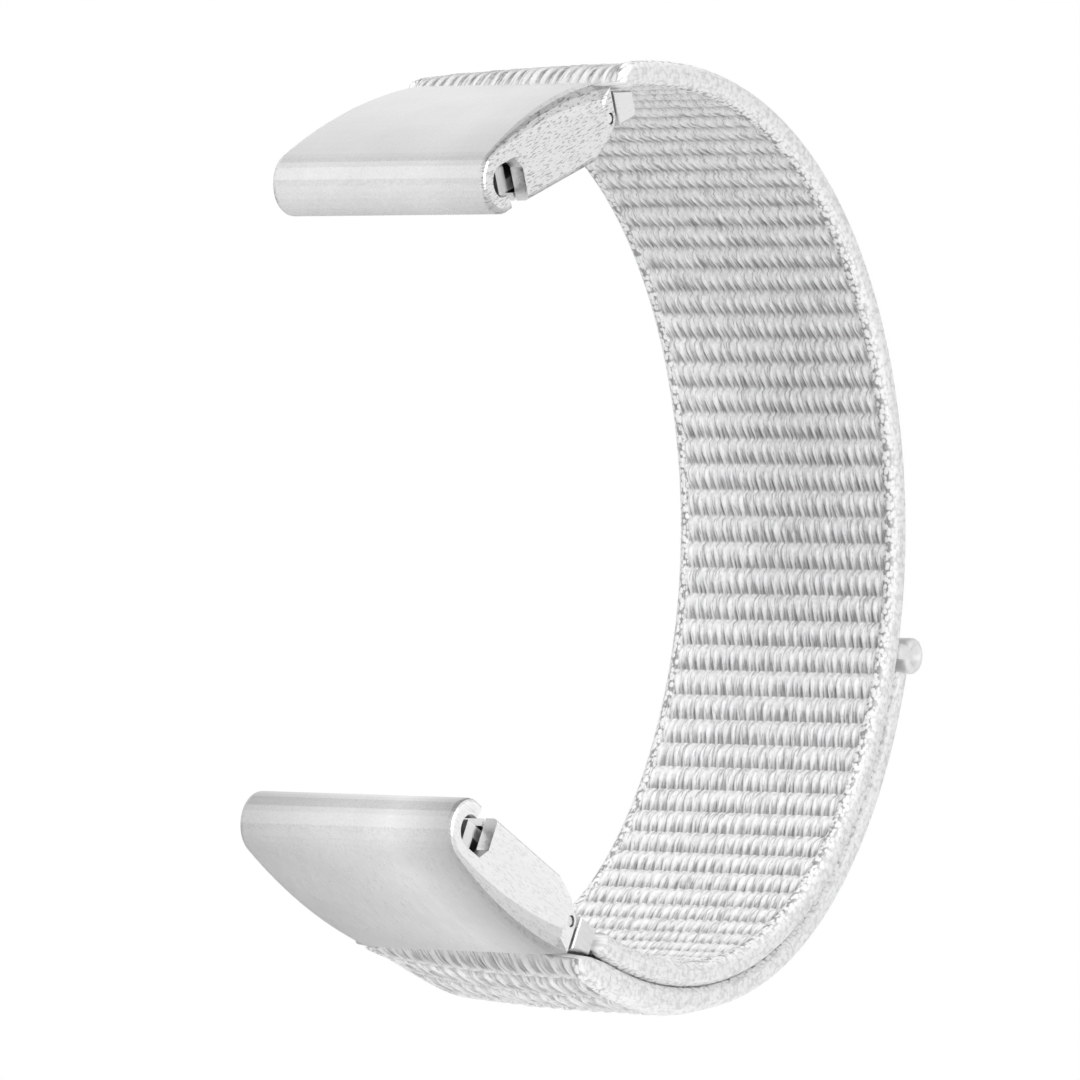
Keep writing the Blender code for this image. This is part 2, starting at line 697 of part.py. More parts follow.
def make_end_link(name, frame):
    """The ears flush with the flanges, their tongues round the spring bar, and the cloth bar."""
    rear = LINK_BAR_ALONG + LINK_BAR_RADIUS + EAR_REAR_WALL
    ear = [
        (EAR_FRONT, -EAR_BOTTOM),
        (rear, -EAR_BOTTOM),
        (rear, EAR_TOP_REAR),
        (EAR_FRONT, EAR_TOP_FRONT),
    ]
    ear_inner = TONGUE_INNER + TONGUE_STEP
    tongue = arc((0, 0), TONGUE_EYE_RADIUS, 330, 30, SHELL_STEPS)
    tongue = [(LINK_BAR_ALONG, -TONGUE_HEIGHT)] + tongue + [(LINK_BAR_ALONG, TONGUE_HEIGHT)]
    rounds = [EAR_EDGE_BEVEL] * len(ear)
    link = make_object(name, prism(ear, ear_inner, SHELL_HALF, rounds), STEEL, frame)
    bar = [(-ear_inner - TONGUE_STEP, LINK_BAR_RADIUS), (ear_inner + TONGUE_STEP, LINK_BAR_RADIUS)]
    joined = [
        make_tool("left_ear_tool", prism(ear, -SHELL_HALF, -ear_inner, rounds), frame),
        make_tool("right_tongue_tool", prism(tongue, TONGUE_INNER, TONGUE_OUTER), frame),
        make_tool("left_tongue_tool", prism(tongue, -TONGUE_OUTER, -TONGUE_INNER), frame),
        make_tool("link_bar_tool", turned(bar, (0, LINK_BAR_ALONG, LINK_BAR_RISE), (1, 0, 0)), frame),
    ]
    apply_tools(link, "UNION", [joined[1], joined[3], joined[2], joined[0]])
    reach = [(-SHELL_HALF, TIP_HOLE_RADIUS), (SHELL_HALF, TIP_HOLE_RADIUS)]
    hole = make_tool("link_hole_tool", turned(reach, (0, 0, 0), (1, 0, 0)), frame)
    apply_tools(link, "DIFFERENCE", [hole])


def make_spring_bar(end_name, frame, sides):
    """The tube, its two sliding tips and the spring between them."""
    tube = [
        (-TUBE_HALF, BAR_TUBE_BORE),
        (-TUBE_HALF, BAR_TUBE_RADIUS),
        (TUBE_HALF, BAR_TUBE_RADIUS),
        (TUBE_HALF, BAR_TUBE_BORE),
    ]
    make_object(end_name + "_bar_tube", turned(tube, (0, 0, 0), (1, 0, 0), True), STEEL, frame)
    shank_out = TUBE_HALF + TIP_SHANK_OUT
    tip = [
        (shank_out - TIP_SHANK_LENGTH, TIP_SHANK_RADIUS),
        (shank_out, TIP_SHANK_RADIUS),
        (shank_out, TIP_RADIUS),
        (SHELL_HALF - TIP_RECESS, TIP_RADIUS),
    ]
    for side, side_name in sides:
        form = turned(tip, (0, 0, 0), (side, 0, 0))
        make_object(end_name + "_bar_tip_" + side_name, form, STEEL, frame)
    reach = shank_out - TIP_SHANK_LENGTH - SPRING_END_GAP - BAR_SPRING_WIRE
    make_spring(end_name + "_bar_spring", (-reach, 0, 0), (1, 0, 0), 2 * reach, BAR_SPRING_RADIUS,
                BAR_SPRING_WIRE, BAR_SPRING_TURNS, DARK_STEEL, frame)


def make_latch(end_name, frame, sides):
    """The slide that closes the claw, with its finger pad and its two springs."""
    tip = -LUG_TO_PIN + LUG_BAR_RADIUS + LATCH_CLEARANCE
    floor = -LATCH_BOTTOM + LATCH_FLOOR_THICKNESS
    outline = [
        (tip, -LATCH_BOTTOM),
        (-LATCH_REAR, -LATCH_BOTTOM),
        (-LATCH_REAR, LATCH_TOP),
        (-LATCH_REAR - LATCH_WALL, LATCH_TOP),
        (-LATCH_REAR - LATCH_WALL, floor),
        (tip + LATCH_TIP_LENGTH, floor),
        (tip + LATCH_TIP_LENGTH, LATCH_TOP),
        (tip, LATCH_TOP),
    ]
    latch_half = ROOM_HALF - LATCH_SIDE_GAP
    form = prism(outline, -latch_half, latch_half)
    slide = make_object(end_name + "_latch_slide", form, DARK_STEEL, frame)
    under = -LATCH_BOTTOM - PAD_DEPTH
    pitch = (PAD_FRONT - PAD_REAR) / PAD_RIDGES
    pad = [(-PAD_REAR, floor), (-PAD_FRONT, floor), (-PAD_FRONT, under)]
    for k in range(PAD_RIDGES):
        crest = -PAD_FRONT + pitch * k
        pad.append((crest + pitch / 2, under))
        pad.append((crest + pitch, under + PAD_RIDGE_DEPTH))
        if k < PAD_RIDGES - 1:
            pad.append((crest + pitch, under))
    pad_tool = make_tool("finger_pad_tool", prism(pad, -PAD_HALF_WIDTH, PAD_HALF_WIDTH), frame)
    apply_tools(slide, "UNION", [pad_tool])
    start = -LATCH_REAR + SPRING_END_GAP + LATCH_SPRING_WIRE
    length = LATCH_REAR - BLOCK_FRONT - 2 * (SPRING_END_GAP + LATCH_SPRING_WIRE)
    for side, side_name in sides:
        place = (side * LATCH_SPRING_SPREAD, start, -LATCH_SPRING_DROP)
        make_spring(end_name + "_latch_spring_" + side_name, place, (0, 1, 0), length,
                    LATCH_SPRING_RADIUS, LATCH_SPRING_WIRE, LATCH_SPRING_TURNS, DARK_STEEL, frame)


def make_cover(end_name, frame, sides):
    """The plate that holds the latch in, with its window, and its two screws."""
    bottom = -COVER_TOP - COVER_THICKNESS
    outline = [
        (-COVER_FRONT, bottom),
        (-COVER_REAR, bottom),
        (-COVER_REAR, -COVER_TOP),
        (-COVER_FRONT, -COVER_TOP),
    ]
    cover_half = ROOM_HALF - COVER_SIDE_GAP
    form = prism(outline, -cover_half, cover_half)
    cover = make_object(end_name + "_latch_cover", form, STEEL, frame)
    window_half = PAD_HALF_WIDTH + LATCH_CLEARANCE
    window_rear = -PAD_REAR + LATCH_TRAVEL + LATCH_CLEARANCE
    window = [
        (-PAD_FRONT - LATCH_CLEARANCE, bottom - OVERRUN),
        (window_rear, bottom - OVERRUN),
        (window_rear, -COVER_TOP + OVERRUN),
        (-PAD_FRONT - LATCH_CLEARANCE, -COVER_TOP + OVERRUN),
    ]
    tools = [make_tool("window_tool", prism(window, -window_half, window_half), frame)]
    seat = SCREW_HEAD_HEIGHT + COVER_SEAT_GAP
    head_room = SCREW_HEAD_RADIUS + SCREW_CLEARANCE
    shank_room = SCREW_SHANK_RADIUS + SCREW_CLEARANCE
    bore = [(-OVERRUN, head_room), (seat, head_room), (seat, shank_room), (OVERRUN, shank_room)]
    screw = [
        (0, SCREW_HEAD_RADIUS),
        (SCREW_HEAD_HEIGHT, SCREW_HEAD_RADIUS),
        (SCREW_HEAD_HEIGHT, SCREW_SHANK_RADIUS),
        (SCREW_LENGTH, SCREW_SHANK_RADIUS),
    ]
    groove = [
        (-SCREW_SLOT_WIDTH / 2, -SCREW_HEAD_RADIUS),
        (SCREW_SLOT_WIDTH / 2, -SCREW_HEAD_RADIUS),
        (SCREW_SLOT_WIDTH / 2, SCREW_HEAD_RADIUS),
        (-SCREW_SLOT_WIDTH / 2, SCREW_HEAD_RADIUS),
    ]
    for side, side_name in sides:
        place = (side * SCREW_PLACE, -SCREW_ALONG, bottom)
        tools.append(make_tool("screw_seat_tool", turned(bore, place, (0, 0, 1)), frame))
        axis_name = end_name + "_cover_screw_" + side_name
        made = make_object(axis_name, turned(screw, place, (0, 0, 1)), DARK_STEEL, frame)
        slot = [(x + place[0], p + place[1]) for x, p in groove]
        slot_form = upright_prism(slot, bottom - OVERRUN, bottom + SCREW_SLOT_DEPTH)
        apply_tools(made, "DIFFERENCE", [make_tool("screw_slot_tool", slot_form, frame)])
    apply_tools(cover, "DIFFERENCE", tools)


def make_connector(end_name, end):
    """One connector with its end link, in a frame at its spring bar."""
    spin = 0.0 if end == 1 else math.pi
    rotation = (math.radians(CONNECTOR_TILT_DEGREES), spin, 0)
    frame = make_empty(end_name + "_spring_bar_axis", (0, *at_pin(end, 0, 0)), rotation)
    sides = ((end, "right"), (-end, "left"))
    make_shell(end_name + "_shell", frame)
    make_end_link(end_name + "_end_link", frame)
    make_spring_bar(end_name, frame, sides)
    make_latch(end_name, frame, sides)
    make_cover(end_name, frame, sides)


wrist = make_empty("wrist_centre", (0, 0, 0), (0, 0, 0))
make_band(wrist)
make_tail(wrist)
make_connector("upper", 1)
make_connector("lower", -1)
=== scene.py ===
"""Looks of a woven nylon watch strap with a brushed steel connector at each end.

The cloth is drawn as real relief: the strip of the CAD model is swept again with the ribs and rows
of the weave on both of its faces. Lengths here are in millimetres until a mesh is made.
"""
import json
import math

import bmesh
import bpy
import numpy as np
from mathutils import Matrix, Vector

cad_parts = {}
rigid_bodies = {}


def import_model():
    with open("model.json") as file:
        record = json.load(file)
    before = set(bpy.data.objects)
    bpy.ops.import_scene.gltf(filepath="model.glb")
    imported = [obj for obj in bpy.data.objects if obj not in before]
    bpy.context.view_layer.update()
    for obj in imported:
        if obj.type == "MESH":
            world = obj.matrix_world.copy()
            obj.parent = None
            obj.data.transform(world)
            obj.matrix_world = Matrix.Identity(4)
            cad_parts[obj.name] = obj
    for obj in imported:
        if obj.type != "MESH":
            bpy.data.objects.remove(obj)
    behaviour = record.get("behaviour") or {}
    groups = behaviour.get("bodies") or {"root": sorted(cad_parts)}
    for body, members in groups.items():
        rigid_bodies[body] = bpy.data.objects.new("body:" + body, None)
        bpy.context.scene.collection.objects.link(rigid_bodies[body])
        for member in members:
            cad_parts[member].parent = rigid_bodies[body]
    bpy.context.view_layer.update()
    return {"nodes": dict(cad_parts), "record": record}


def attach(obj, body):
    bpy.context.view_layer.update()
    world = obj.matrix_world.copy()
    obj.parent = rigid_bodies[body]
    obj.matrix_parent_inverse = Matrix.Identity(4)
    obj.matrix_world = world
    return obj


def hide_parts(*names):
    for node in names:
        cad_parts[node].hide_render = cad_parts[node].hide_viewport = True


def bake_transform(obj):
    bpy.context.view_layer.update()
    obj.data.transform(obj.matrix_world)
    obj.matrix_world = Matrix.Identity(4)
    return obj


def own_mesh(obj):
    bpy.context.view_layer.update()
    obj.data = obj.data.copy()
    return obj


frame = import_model()

MM = 0.001

# The band's path and the folds, as in the CAD model
PIN_HALF_SPAN = 32.0
PIN_SETBACK = 14.0
BACK_REACH = 31.3
BACK_HEIGHT = -1.4
UPPER_START = (2.9, 3.8, 9.5)
LOWER_END = (4.3, 1.6, 18.2)
HANDLES = (27.4, 20.9, 18.9, 28.1)
TILT = math.radians(24.0)
BAND_HALF = 11.0
BAND_THICKNESS = 2.0
EDGE_ROUND_SHARE = 0.45
FLAT_HALF = BAND_HALF - EDGE_ROUND_SHARE * BAND_THICKNESS
LAYER_GAP = 0.25
HEM_LENGTH = 2.8
HEM_THICKNESS = 0.8
FOLD_THICKNESS = 0.9
FOLD_GAP = 0.2
FOLD_RISE = 2.3
FOLD_HALF = 7.9
FOLD_ROUND = 0.5
LINK_BAR = (2.7, 0.3)
LINK_BAR_RADIUS = 0.5
TAIL_ROOT = 1.5
TAIL_BREAK = 27.0
TAIL_END = 54.2
TAIL_THICKNESS = 1.8
TAIL_BULGE = 0.65
TAIL_BULGE_FROM = 8.0
TAIL_BULGE_TO = 17.0
HOOK_START = 33.0
HOOK_END = 51.2
HOOK_MARGIN = 2.0
HOOK_THICKNESS = 0.35
TAB_HEIGHT = 2.8
TAB_WEB_DEPTH = 2.1
TAB_GAP = 0.3
TAB_NECK = 1.3
TAB_ROUND = 0.45
TAB_ROUND_LEAD = 0.05
SCOOP_DEPTH = 0.5
SCOOP_RIM_SHARE = 0.30
SCOOP_FLOOR_SHARE = 0.66

# The room of each end link's ears, and the cloth beside it: its least thickness, how far past the
# fold and how deep it counts as beside, and the place on the strip that parts the two ends
POCKET_REAR = 3.95
POCKET_TOP = ((1.15, 2.2), (3.65, 1.5))
LEAST_CLOTH = 0.2
EAR_MARGIN = 0.05
EAR_DEPTH = 3.0
LINK_DEPTH = 4.0
MIDWAY = 60.0

# The folds round the bars, as (degrees, share of the rise) pairs, and the share of the upper one's
# knots up to which the strip is narrow
UPPER_FOLD_SHARES = ((300, 0), (250, 0), (205, 0), (165, 0.05), (130, 0.45), (100, 0.92))
LOWER_FOLD_SHARES = ((285, 0), (240, 0), (195, 0), (155, 0.1), (125, 0.5), (98, 0.95))
NARROW_SHARE = 3.2 / 7

# The cloth is drawn tighter at the far edge of each fold: how much and over what length, then how
# far past the band's end that begins and over what length it rises
UPPER_TIGHT = (1.0, 12.0)
LOWER_TIGHT = (1.9, 19.0)
UPPER_TIGHT_FROM = (3.2, 1.6)
LOWER_TIGHT_FROM = (4.6, 1.9)
LEAST_THICKNESS = 0.45
FAR_POWER = 2.5

# How far past the tail's root and its middle hinge the cloth pieces of the tail end or begin
ROOT_SEAM = 0.02
BREAK_SEAM = (0.14, 0.16)

# The bed of the hook tape in the tail, its side as (from, over) and the tape's hooks
BED_LEAD = 1.6
BED_TRAIL = 1.0
BED_EASE = 0.6
BED_SPARE = 0.2
BED_SIDE = (0.3, 0.4)
HOOK_PITCH = 0.9
HOOK_RISE = 0.12
HOOK_LEVEL = 0.7
HOOK_GRID = (110, 120)

# The weave: short floats on the wrist side and long floats on the outside. The wrist side has the
# long floats from TURNED_OUT past the band's end, and they lean the other way from LEAN_BACK_ROW.
# UPPER_SHADE is where the painted shade on the upper fold begins to fade and over what length.
# PIT_DEPTH is the depth that the material takes as a full pit
SHORT = dict(row=2.235, phase=24.62, rib=0.852, ribs=23, depth=0.42, lean=0.24, curve=0.16,
             strip=0.13, weft=0.52, centre=0.36, blade=0.29, second=0.62, fall=0.62, valley=0.68,
             dim=0.10, tone=1.0)
LONG = dict(row=4.6, phase=0.8, rib=1.31, ribs=15, depth=0.40, lean=-0.9, curve=0.30,
            strip=0.08, weft=0.45, centre=0.42, blade=0.31, second=0.35, fall=0.25, valley=0.12,
            dim=0.12, tone=1.0)
FOLD_LONG = dict(LONG, lean=1.6)
# The upper fold's outer face is the same white cloth with painted shade: a lower tone and more
# darkening down each float
UPPER_LONG = dict(LONG, phase=1.5, lean=1.9, rib=0.98, ribs=20, depth=0.45, valley=0.0, dim=0.3,
                  blade=0.30, second=0.3, tone=0.80)
UPPER_SHADE = (12.0, 16.0)
TURNED_OUT = 1.2
LEAN_BACK_ROW = 29
PIT_DEPTH = 0.4
LEAST_RELIEF_SHARE = 0.15
JITTER_SIZE = 64
SELVAGE_JITTER = 11

# The flat stitched selvages, and the fineness of the meshes
SELVAGE_FROM = 9.8
SEAM_RISE = 0.17
SEAM_ROUND_SHARE = 0.5
STEP_ALONG = 0.186
EDGE_STITCH = 4 * STEP_ALONG
SHORT_COLUMNS = 236
LONG_COLUMNS = 150
ARC_STEPS = 7


# Paths in the (Y, Z) plane

def bezier(a, b, c, d, steps):
    """Points of a cubic curve."""
    t = np.linspace(0, 1, steps + 1)[:, None]
    a, b, c, d = (np.array(p, float) for p in (a, b, c, d))
    return a * (1 - t) ** 3 + 3 * b * (1 - t) ** 2 * t + 3 * c * (1 - t) * t * t + d * t ** 3


def at_pin(end, y, z):
    """A point given from the pin of an end, 1 for upper or -1 for lower."""
    return (y - PIN_SETBACK, end * (PIN_HALF_SPAN + z))


def from_connector(p, v):
    """A point of the tilted connector frame, level at the pin."""
    return (p * math.cos(TILT) - v * math.sin(TILT), p * math.sin(TILT) + v * math.cos(TILT))


def to_connector(end, y, z):
    """Turn (Y, Z) into the connector frame of an end."""
    level_y, level_z = y + PIN_SETBACK, end * z - PIN_HALF_SPAN
    return (level_y * math.cos(TILT) + level_z * math.sin(TILT),
            -level_y * math.sin(TILT) + level_z * math.cos(TILT))


def band_line(steps=300):
    """The band's middle line from the upper connector to the lower one."""
    along, rise, degrees = UPPER_START
    start = at_pin(1, along, rise)
    turn = math.radians(degrees)
    first = (start[0] + HANDLES[0] * math.cos(turn), start[1] + HANDLES[0] * math.sin(turn))
    back = (BACK_REACH, BACK_HEIGHT)
    over = (BACK_REACH, BACK_HEIGHT + HANDLES[1])
    under = (BACK_REACH, BACK_HEIGHT - HANDLES[2])
    along, rise, degrees = LOWER_END
    finish = at_pin(-1, along, rise)
    turn = math.radians(degrees)
    last = (finish[0] + HANDLES[3] * math.cos(turn), finish[1] - HANDLES[3] * math.sin(turn))
    return np.vstack([bezier(start, first, over, back, steps),
                      bezier(back, under, last, finish, steps)[1:]])


def lengths(points):
    """The distance along a path at each of its points."""
    return np.r_[0, np.cumsum(np.hypot(*np.diff(points[:, :2], axis=0).T))]


def normals(points):
    """Unit normals to the left of the way."""
    way = np.gradient(points[:, :2], axis=0)
    way /= np.linalg.norm(way, axis=1)[:, None]
    return np.stack([-way[:, 1], way[:, 0]], 1)


def beside(line, distance, offset):
    """Points at distances along a line, moved to its left by offset."""
    walked = lengths(line)
    side = normals(line)
    distance = np.atleast_1d(np.asarray(distance, float))
    inside = np.clip(distance, 0, walked[-1])
    place = np.stack([np.interp(inside, walked, line[:, k]) for k in (0, 1)], 1)
    facing = np.stack([np.interp(inside, walked, side[:, k]) for k in (0, 1)], 1)
    way = np.stack([facing[:, 1], -facing[:, 0]], 1)
    return place + way * (distance - inside)[:, None] + facing * np.reshape(offset, (-1, 1))


def smooth_path(knots, steps=14):
    """A Catmull-Rom path through rows of numbers, without the last one."""
    knots = np.array(knots, float)
    padded = np.vstack([knots[:1], knots, knots[-1:]])
    t = (np.arange(steps) / steps)[:, None]
    spans = []
    for i in range(len(knots) - 1):
        a, b, c, d = padded[i:i + 4]
        spans.append(0.5 * (2 * b + (c - a) * t + (2 * a - 5 * b + 4 * c - d) * t * t
                            + (3 * b - a - 3 * c + d) * t ** 3))
    return np.vstack(spans)


def fold_knots(end, turns):
    """(y, z, thickness) round an end link's bar from (degrees, share of the rise) pairs."""
    centre = from_connector(*LINK_BAR)
    tight = LINK_BAR_RADIUS + FOLD_GAP + FOLD_THICKNESS / 2
    knots = []
    for degrees, share in turns:
        radius = tight + (FOLD_RISE - tight) * share
        turn = math.radians(degrees)
        place = at_pin(end, centre[0] + radius * math.cos(turn),
                       centre[1] + radius * math.sin(turn))
        knots.append((*place, FOLD_THICKNESS + (BAND_THICKNESS - FOLD_THICKNESS) * share))
    return knots


def smooth_share(value):
    """Ease from 0 to 1."""
    value = np.clip(value, 0, 1)
    return value * value * (3 - 2 * value)


def plain_tail(distance):
    """Thickness of the tail without its hook tape, fuller towards its root."""
    share = (np.asarray(distance, float) - TAIL_BULGE_FROM) / (TAIL_BULGE_TO - TAIL_BULGE_FROM)
    return TAIL_THICKNESS + TAIL_BULGE * (1 - smooth_share(share))


def tail_outer(distance):
    """How far the tail's outer face lies from the band's middle line."""
    return BAND_THICKNESS / 2 + LAYER_GAP + plain_tail(distance)


def resample(path, first_at, step):
    """Even stations on a (y, z, thickness) path. Return them and their places along the strip."""
    walked = lengths(path)
    count = max(2, int(round(walked[-1] / step)))
    places = np.linspace(0, walked[-1], count + 1)
    stations = np.stack([np.interp(places, walked, path[:, k]) for k in range(3)], 1)
    return stations, places - first_at


# The weave

rng = np.random.default_rng(5)
JITTER = rng.random((JITTER_SIZE, JITTER_SIZE, 4))


def weave(x, s, kind):
    """Height in mm (0 at the crests), shade and run, the place across the ribs, at (x, s).

    A row is a line of long yarns, the floats, and a narrow strip where the cross yarns show.
    Each float is a blade that swells near its top and sinks under the strip, with a thinner
    yarn beside it in the short weave.
    """
    row = (s - kind["phase"]) / kind["row"]
    row_number = np.floor(row).astype(int)
    in_row = row - row_number
    run = x - kind["lean"] * (in_row - 0.5) + kind["curve"] * np.sin(math.pi * in_row)
    column = run / kind["rib"] + kind["ribs"] / 2
    column_number = np.floor(column).astype(int)
    in_column = column - column_number
    chance = JITTER[row_number % JITTER_SIZE, column_number % JITTER_SIZE]
    along = np.clip(in_row / (1 - kind["strip"]), 0, 1)
    swell = 0.25 + 0.75 * smooth_share(along / 0.24)
    swell = swell * (1 - kind["fall"] * smooth_share((along - 0.30) / 0.70))
    half = kind["blade"] * (0.40 + 0.60 * smooth_share(along / 0.34))
    half = half * (1 - 0.35 * smooth_share((along - 0.45) / 0.55)) * (0.82 + 0.36 * chance[..., 1])
    off = in_column - kind["centre"] - 0.10 * (chance[..., 0] - 0.5)
    reach = np.where(off < 0, half * 0.80, half * 1.25)
    blade = np.sqrt(np.clip(1 - (off / reach) ** 2, 0, 1)) * swell * (0.86 + 0.14 * chance[..., 2])
    beside_it = (off + 1.04) % 1 - 0.5
    thin = np.sqrt(np.clip(1 - (beside_it / 0.16) ** 2, 0, 1)) * swell
    thin = thin * kind["second"] * (0.35 + 0.65 * chance[..., 3])
    valley = kind["valley"] * (1 - smooth_share((along - 0.18) / 0.52))
    body = np.maximum(np.maximum(blade, thin), valley)
    knots = np.cos(2 * math.pi * (column + 0.3 * chance[..., 0]))
    weft = kind["weft"] + 0.17 * knots
    strip = np.maximum(smooth_share((in_row - 1 + kind["strip"]) / 0.05 + 0.5),
                       1 - smooth_share(in_row / 0.06))
    height = body * (1 - strip) + weft * strip
    # Painted shade: each float darkens towards its lower end, where it faces down, and the cross
    # yarns are lighter on their raised knots. The lower tone of the upper fold's outer face is
    # painted shade too. The rest differs at random from rib to rib.
    shade = (1 - kind["dim"] * smooth_share((along - 0.35) / 0.60)) * (0.93 + 0.07 * chance[..., 1])
    shade = shade * (1 - strip) + (0.93 + 0.07 * knots) * strip
    return (height - 1) * kind["depth"], shade * kind["tone"], run


def stitched(s, turn, run, left_is_seam):
    """The edge's height, shade, run and specks. turn is 0 at the right face and 1 at the left."""
    stitch = 2 * math.pi * s / EDGE_STITCH
    braid = np.cos(stitch + 5 * turn) * np.cos(8 * math.pi * turn)
    height = -0.05 + 0.007 * braid + SEAM_RISE * smooth_share((turn - 0.6) / 0.4)
    # Painted shade: the edge is a little darker in the hollows of its braid, and its dark specks,
    # thin elsewhere, gather at the creases where it meets the faces
    shade = 0.985 + 0.015 * braid
    specks = np.exp(-((turn - 0.97) / 0.14) ** 2)
    if not left_is_seam:
        specks = np.maximum(specks, np.exp(-((turn - 0.03) / 0.16) ** 2))
    return height, shade, run, 0.25 + 0.75 * specks


def face_look(x, s, kind, rise=0.0):
    """Height, shade, run and specks on a face: ribs between flat stitched selvages."""
    height, shade, run = weave(x, s, kind)
    reach = np.abs(x)
    stitch = s / EDGE_STITCH + 0.8 * (reach - SELVAGE_FROM)
    ridge = 0.5 + 0.5 * np.cos(2 * math.pi * stitch)
    chance = JITTER[np.floor(stitch).astype(int) % JITTER_SIZE, SELVAGE_JITTER]
    near = np.exp(-((reach - SELVAGE_FROM - 0.05) / 0.16) ** 2)
    hole = near * (1 - ridge) * (0.3 + 0.7 * chance[..., 1])
    plain = rise - 0.05 - 0.03 * (1 - ridge) - 0.08 * hole
    out = smooth_share((reach - SELVAGE_FROM + 0.12) / 0.22)
    # Painted shade: the selvage is darker in the grooves between its stitches and in the stitch
    # holes beside the ribs, where its specks gather too
    fine = 1 - 0.06 * (1 - ridge) * chance[..., 3] - 0.20 * hole
    looks = ((height, plain), (shade, fine), (run, x), (0 * x, 0.45 + 0.55 * near))
    return tuple(weft * (1 - out) + edge * out for weft, edge in looks)


def pocket_top(p):
    """Top of the room that the ears of an end link take, at p along the connector."""
    (first, high), (last, low) = POCKET_TOP
    return np.interp(p, (first, last), (high, low))


def squeeze(x, half):
    """Draw the columns beyond the fold's width in to a narrower half width."""
    keep = FOLD_HALF - FOLD_ROUND
    out = np.clip(np.abs(x) - keep, 0, None)
    drawn = keep + out * (half - keep) / (FLAT_HALF - keep)
    return np.sign(x) * np.where(np.abs(x) > keep, drawn, np.abs(x))


def ring_points(columns_left, columns_right):
    """Places round the strip: side in x, side in n, angle, x on a face, and 1 if on a face."""
    quarter = np.radians(np.linspace(0, 90, ARC_STEPS + 1))
    ring = []
    for first, side_n in ((270, -1), (0, 1)):
        ring += [(1, side_n, math.radians(first) + q, 0, 0) for q in quarter]
    for x in np.linspace(FLAT_HALF, -FLAT_HALF, columns_left + 1)[1:-1]:
        ring.append((0, 1, math.radians(90), x, 1))
    for first, side_n in ((90, 1), (180, -1)):
        ring += [(-1, side_n, math.radians(first) + q, 0, 0) for q in quarter]
    for x in np.linspace(-FLAT_HALF, FLAT_HALF, columns_right + 1)[1:-1]:
        ring.append((0, -1, math.radians(270), x, 1))
    return np.array(ring, float).T


def tube_faces(rows, count, turned=False):
    """Faces of a closed tube of rows rings of count points, with a cap at each end."""
    first = np.arange(rows - 1)[:, None] * count
    column = np.arange(count)[None, :]
    after = (column + 1) % count
    quads = np.stack([first + column, first + count + column, first + count + after,
                      first + after], -1).reshape(-1, 4)
    near = list(range(count))
    far = [(rows - 1) * count + k for k in near]
    if turned:
        return quads[:, [0, 3, 2, 1]].tolist() + [near[::-1], far]
    return quads.tolist() + [near, far[::-1]]


def add_object(name, data):
    """A new object in the scene."""
    made = bpy.data.objects.new(name, data)
    bpy.context.scene.collection.objects.link(made)
    return made


def smooth_object(name, points, faces):
    """A smooth mesh object from points in millimetres."""
    mesh = bpy.data.meshes.new(name)
    mesh.from_pydata((points * MM).tolist(), [], faces)
    mesh.shade_smooth()
    return add_object(name, mesh)


def clear_of_ears(x, y, z, across_share, wide, s):
    """Lift the cloth beside each fold off the pocket that the end link's ears take."""
    for end in (1, -1):
        p, v = to_connector(end, y, z)
        least = pocket_top(p) + LEAST_CLOTH * (0.5 + end * across_share)
        lifted = (np.abs(x) > FOLD_HALF + EAR_MARGIN) & (p < POCKET_REAR) & (v < least)
        lifted &= (v > -EAR_DEPTH) & (wide > FOLD_HALF + 2 * EAR_MARGIN) & (s * end < MIDWAY * end)
        p2, v2 = from_connector(p, np.where(lifted, least, v))
        placed = at_pin(end, p2, v2)
        y = np.where(lifted, placed[0], y)
        z = np.where(lifted, placed[1], z)
    return y, z


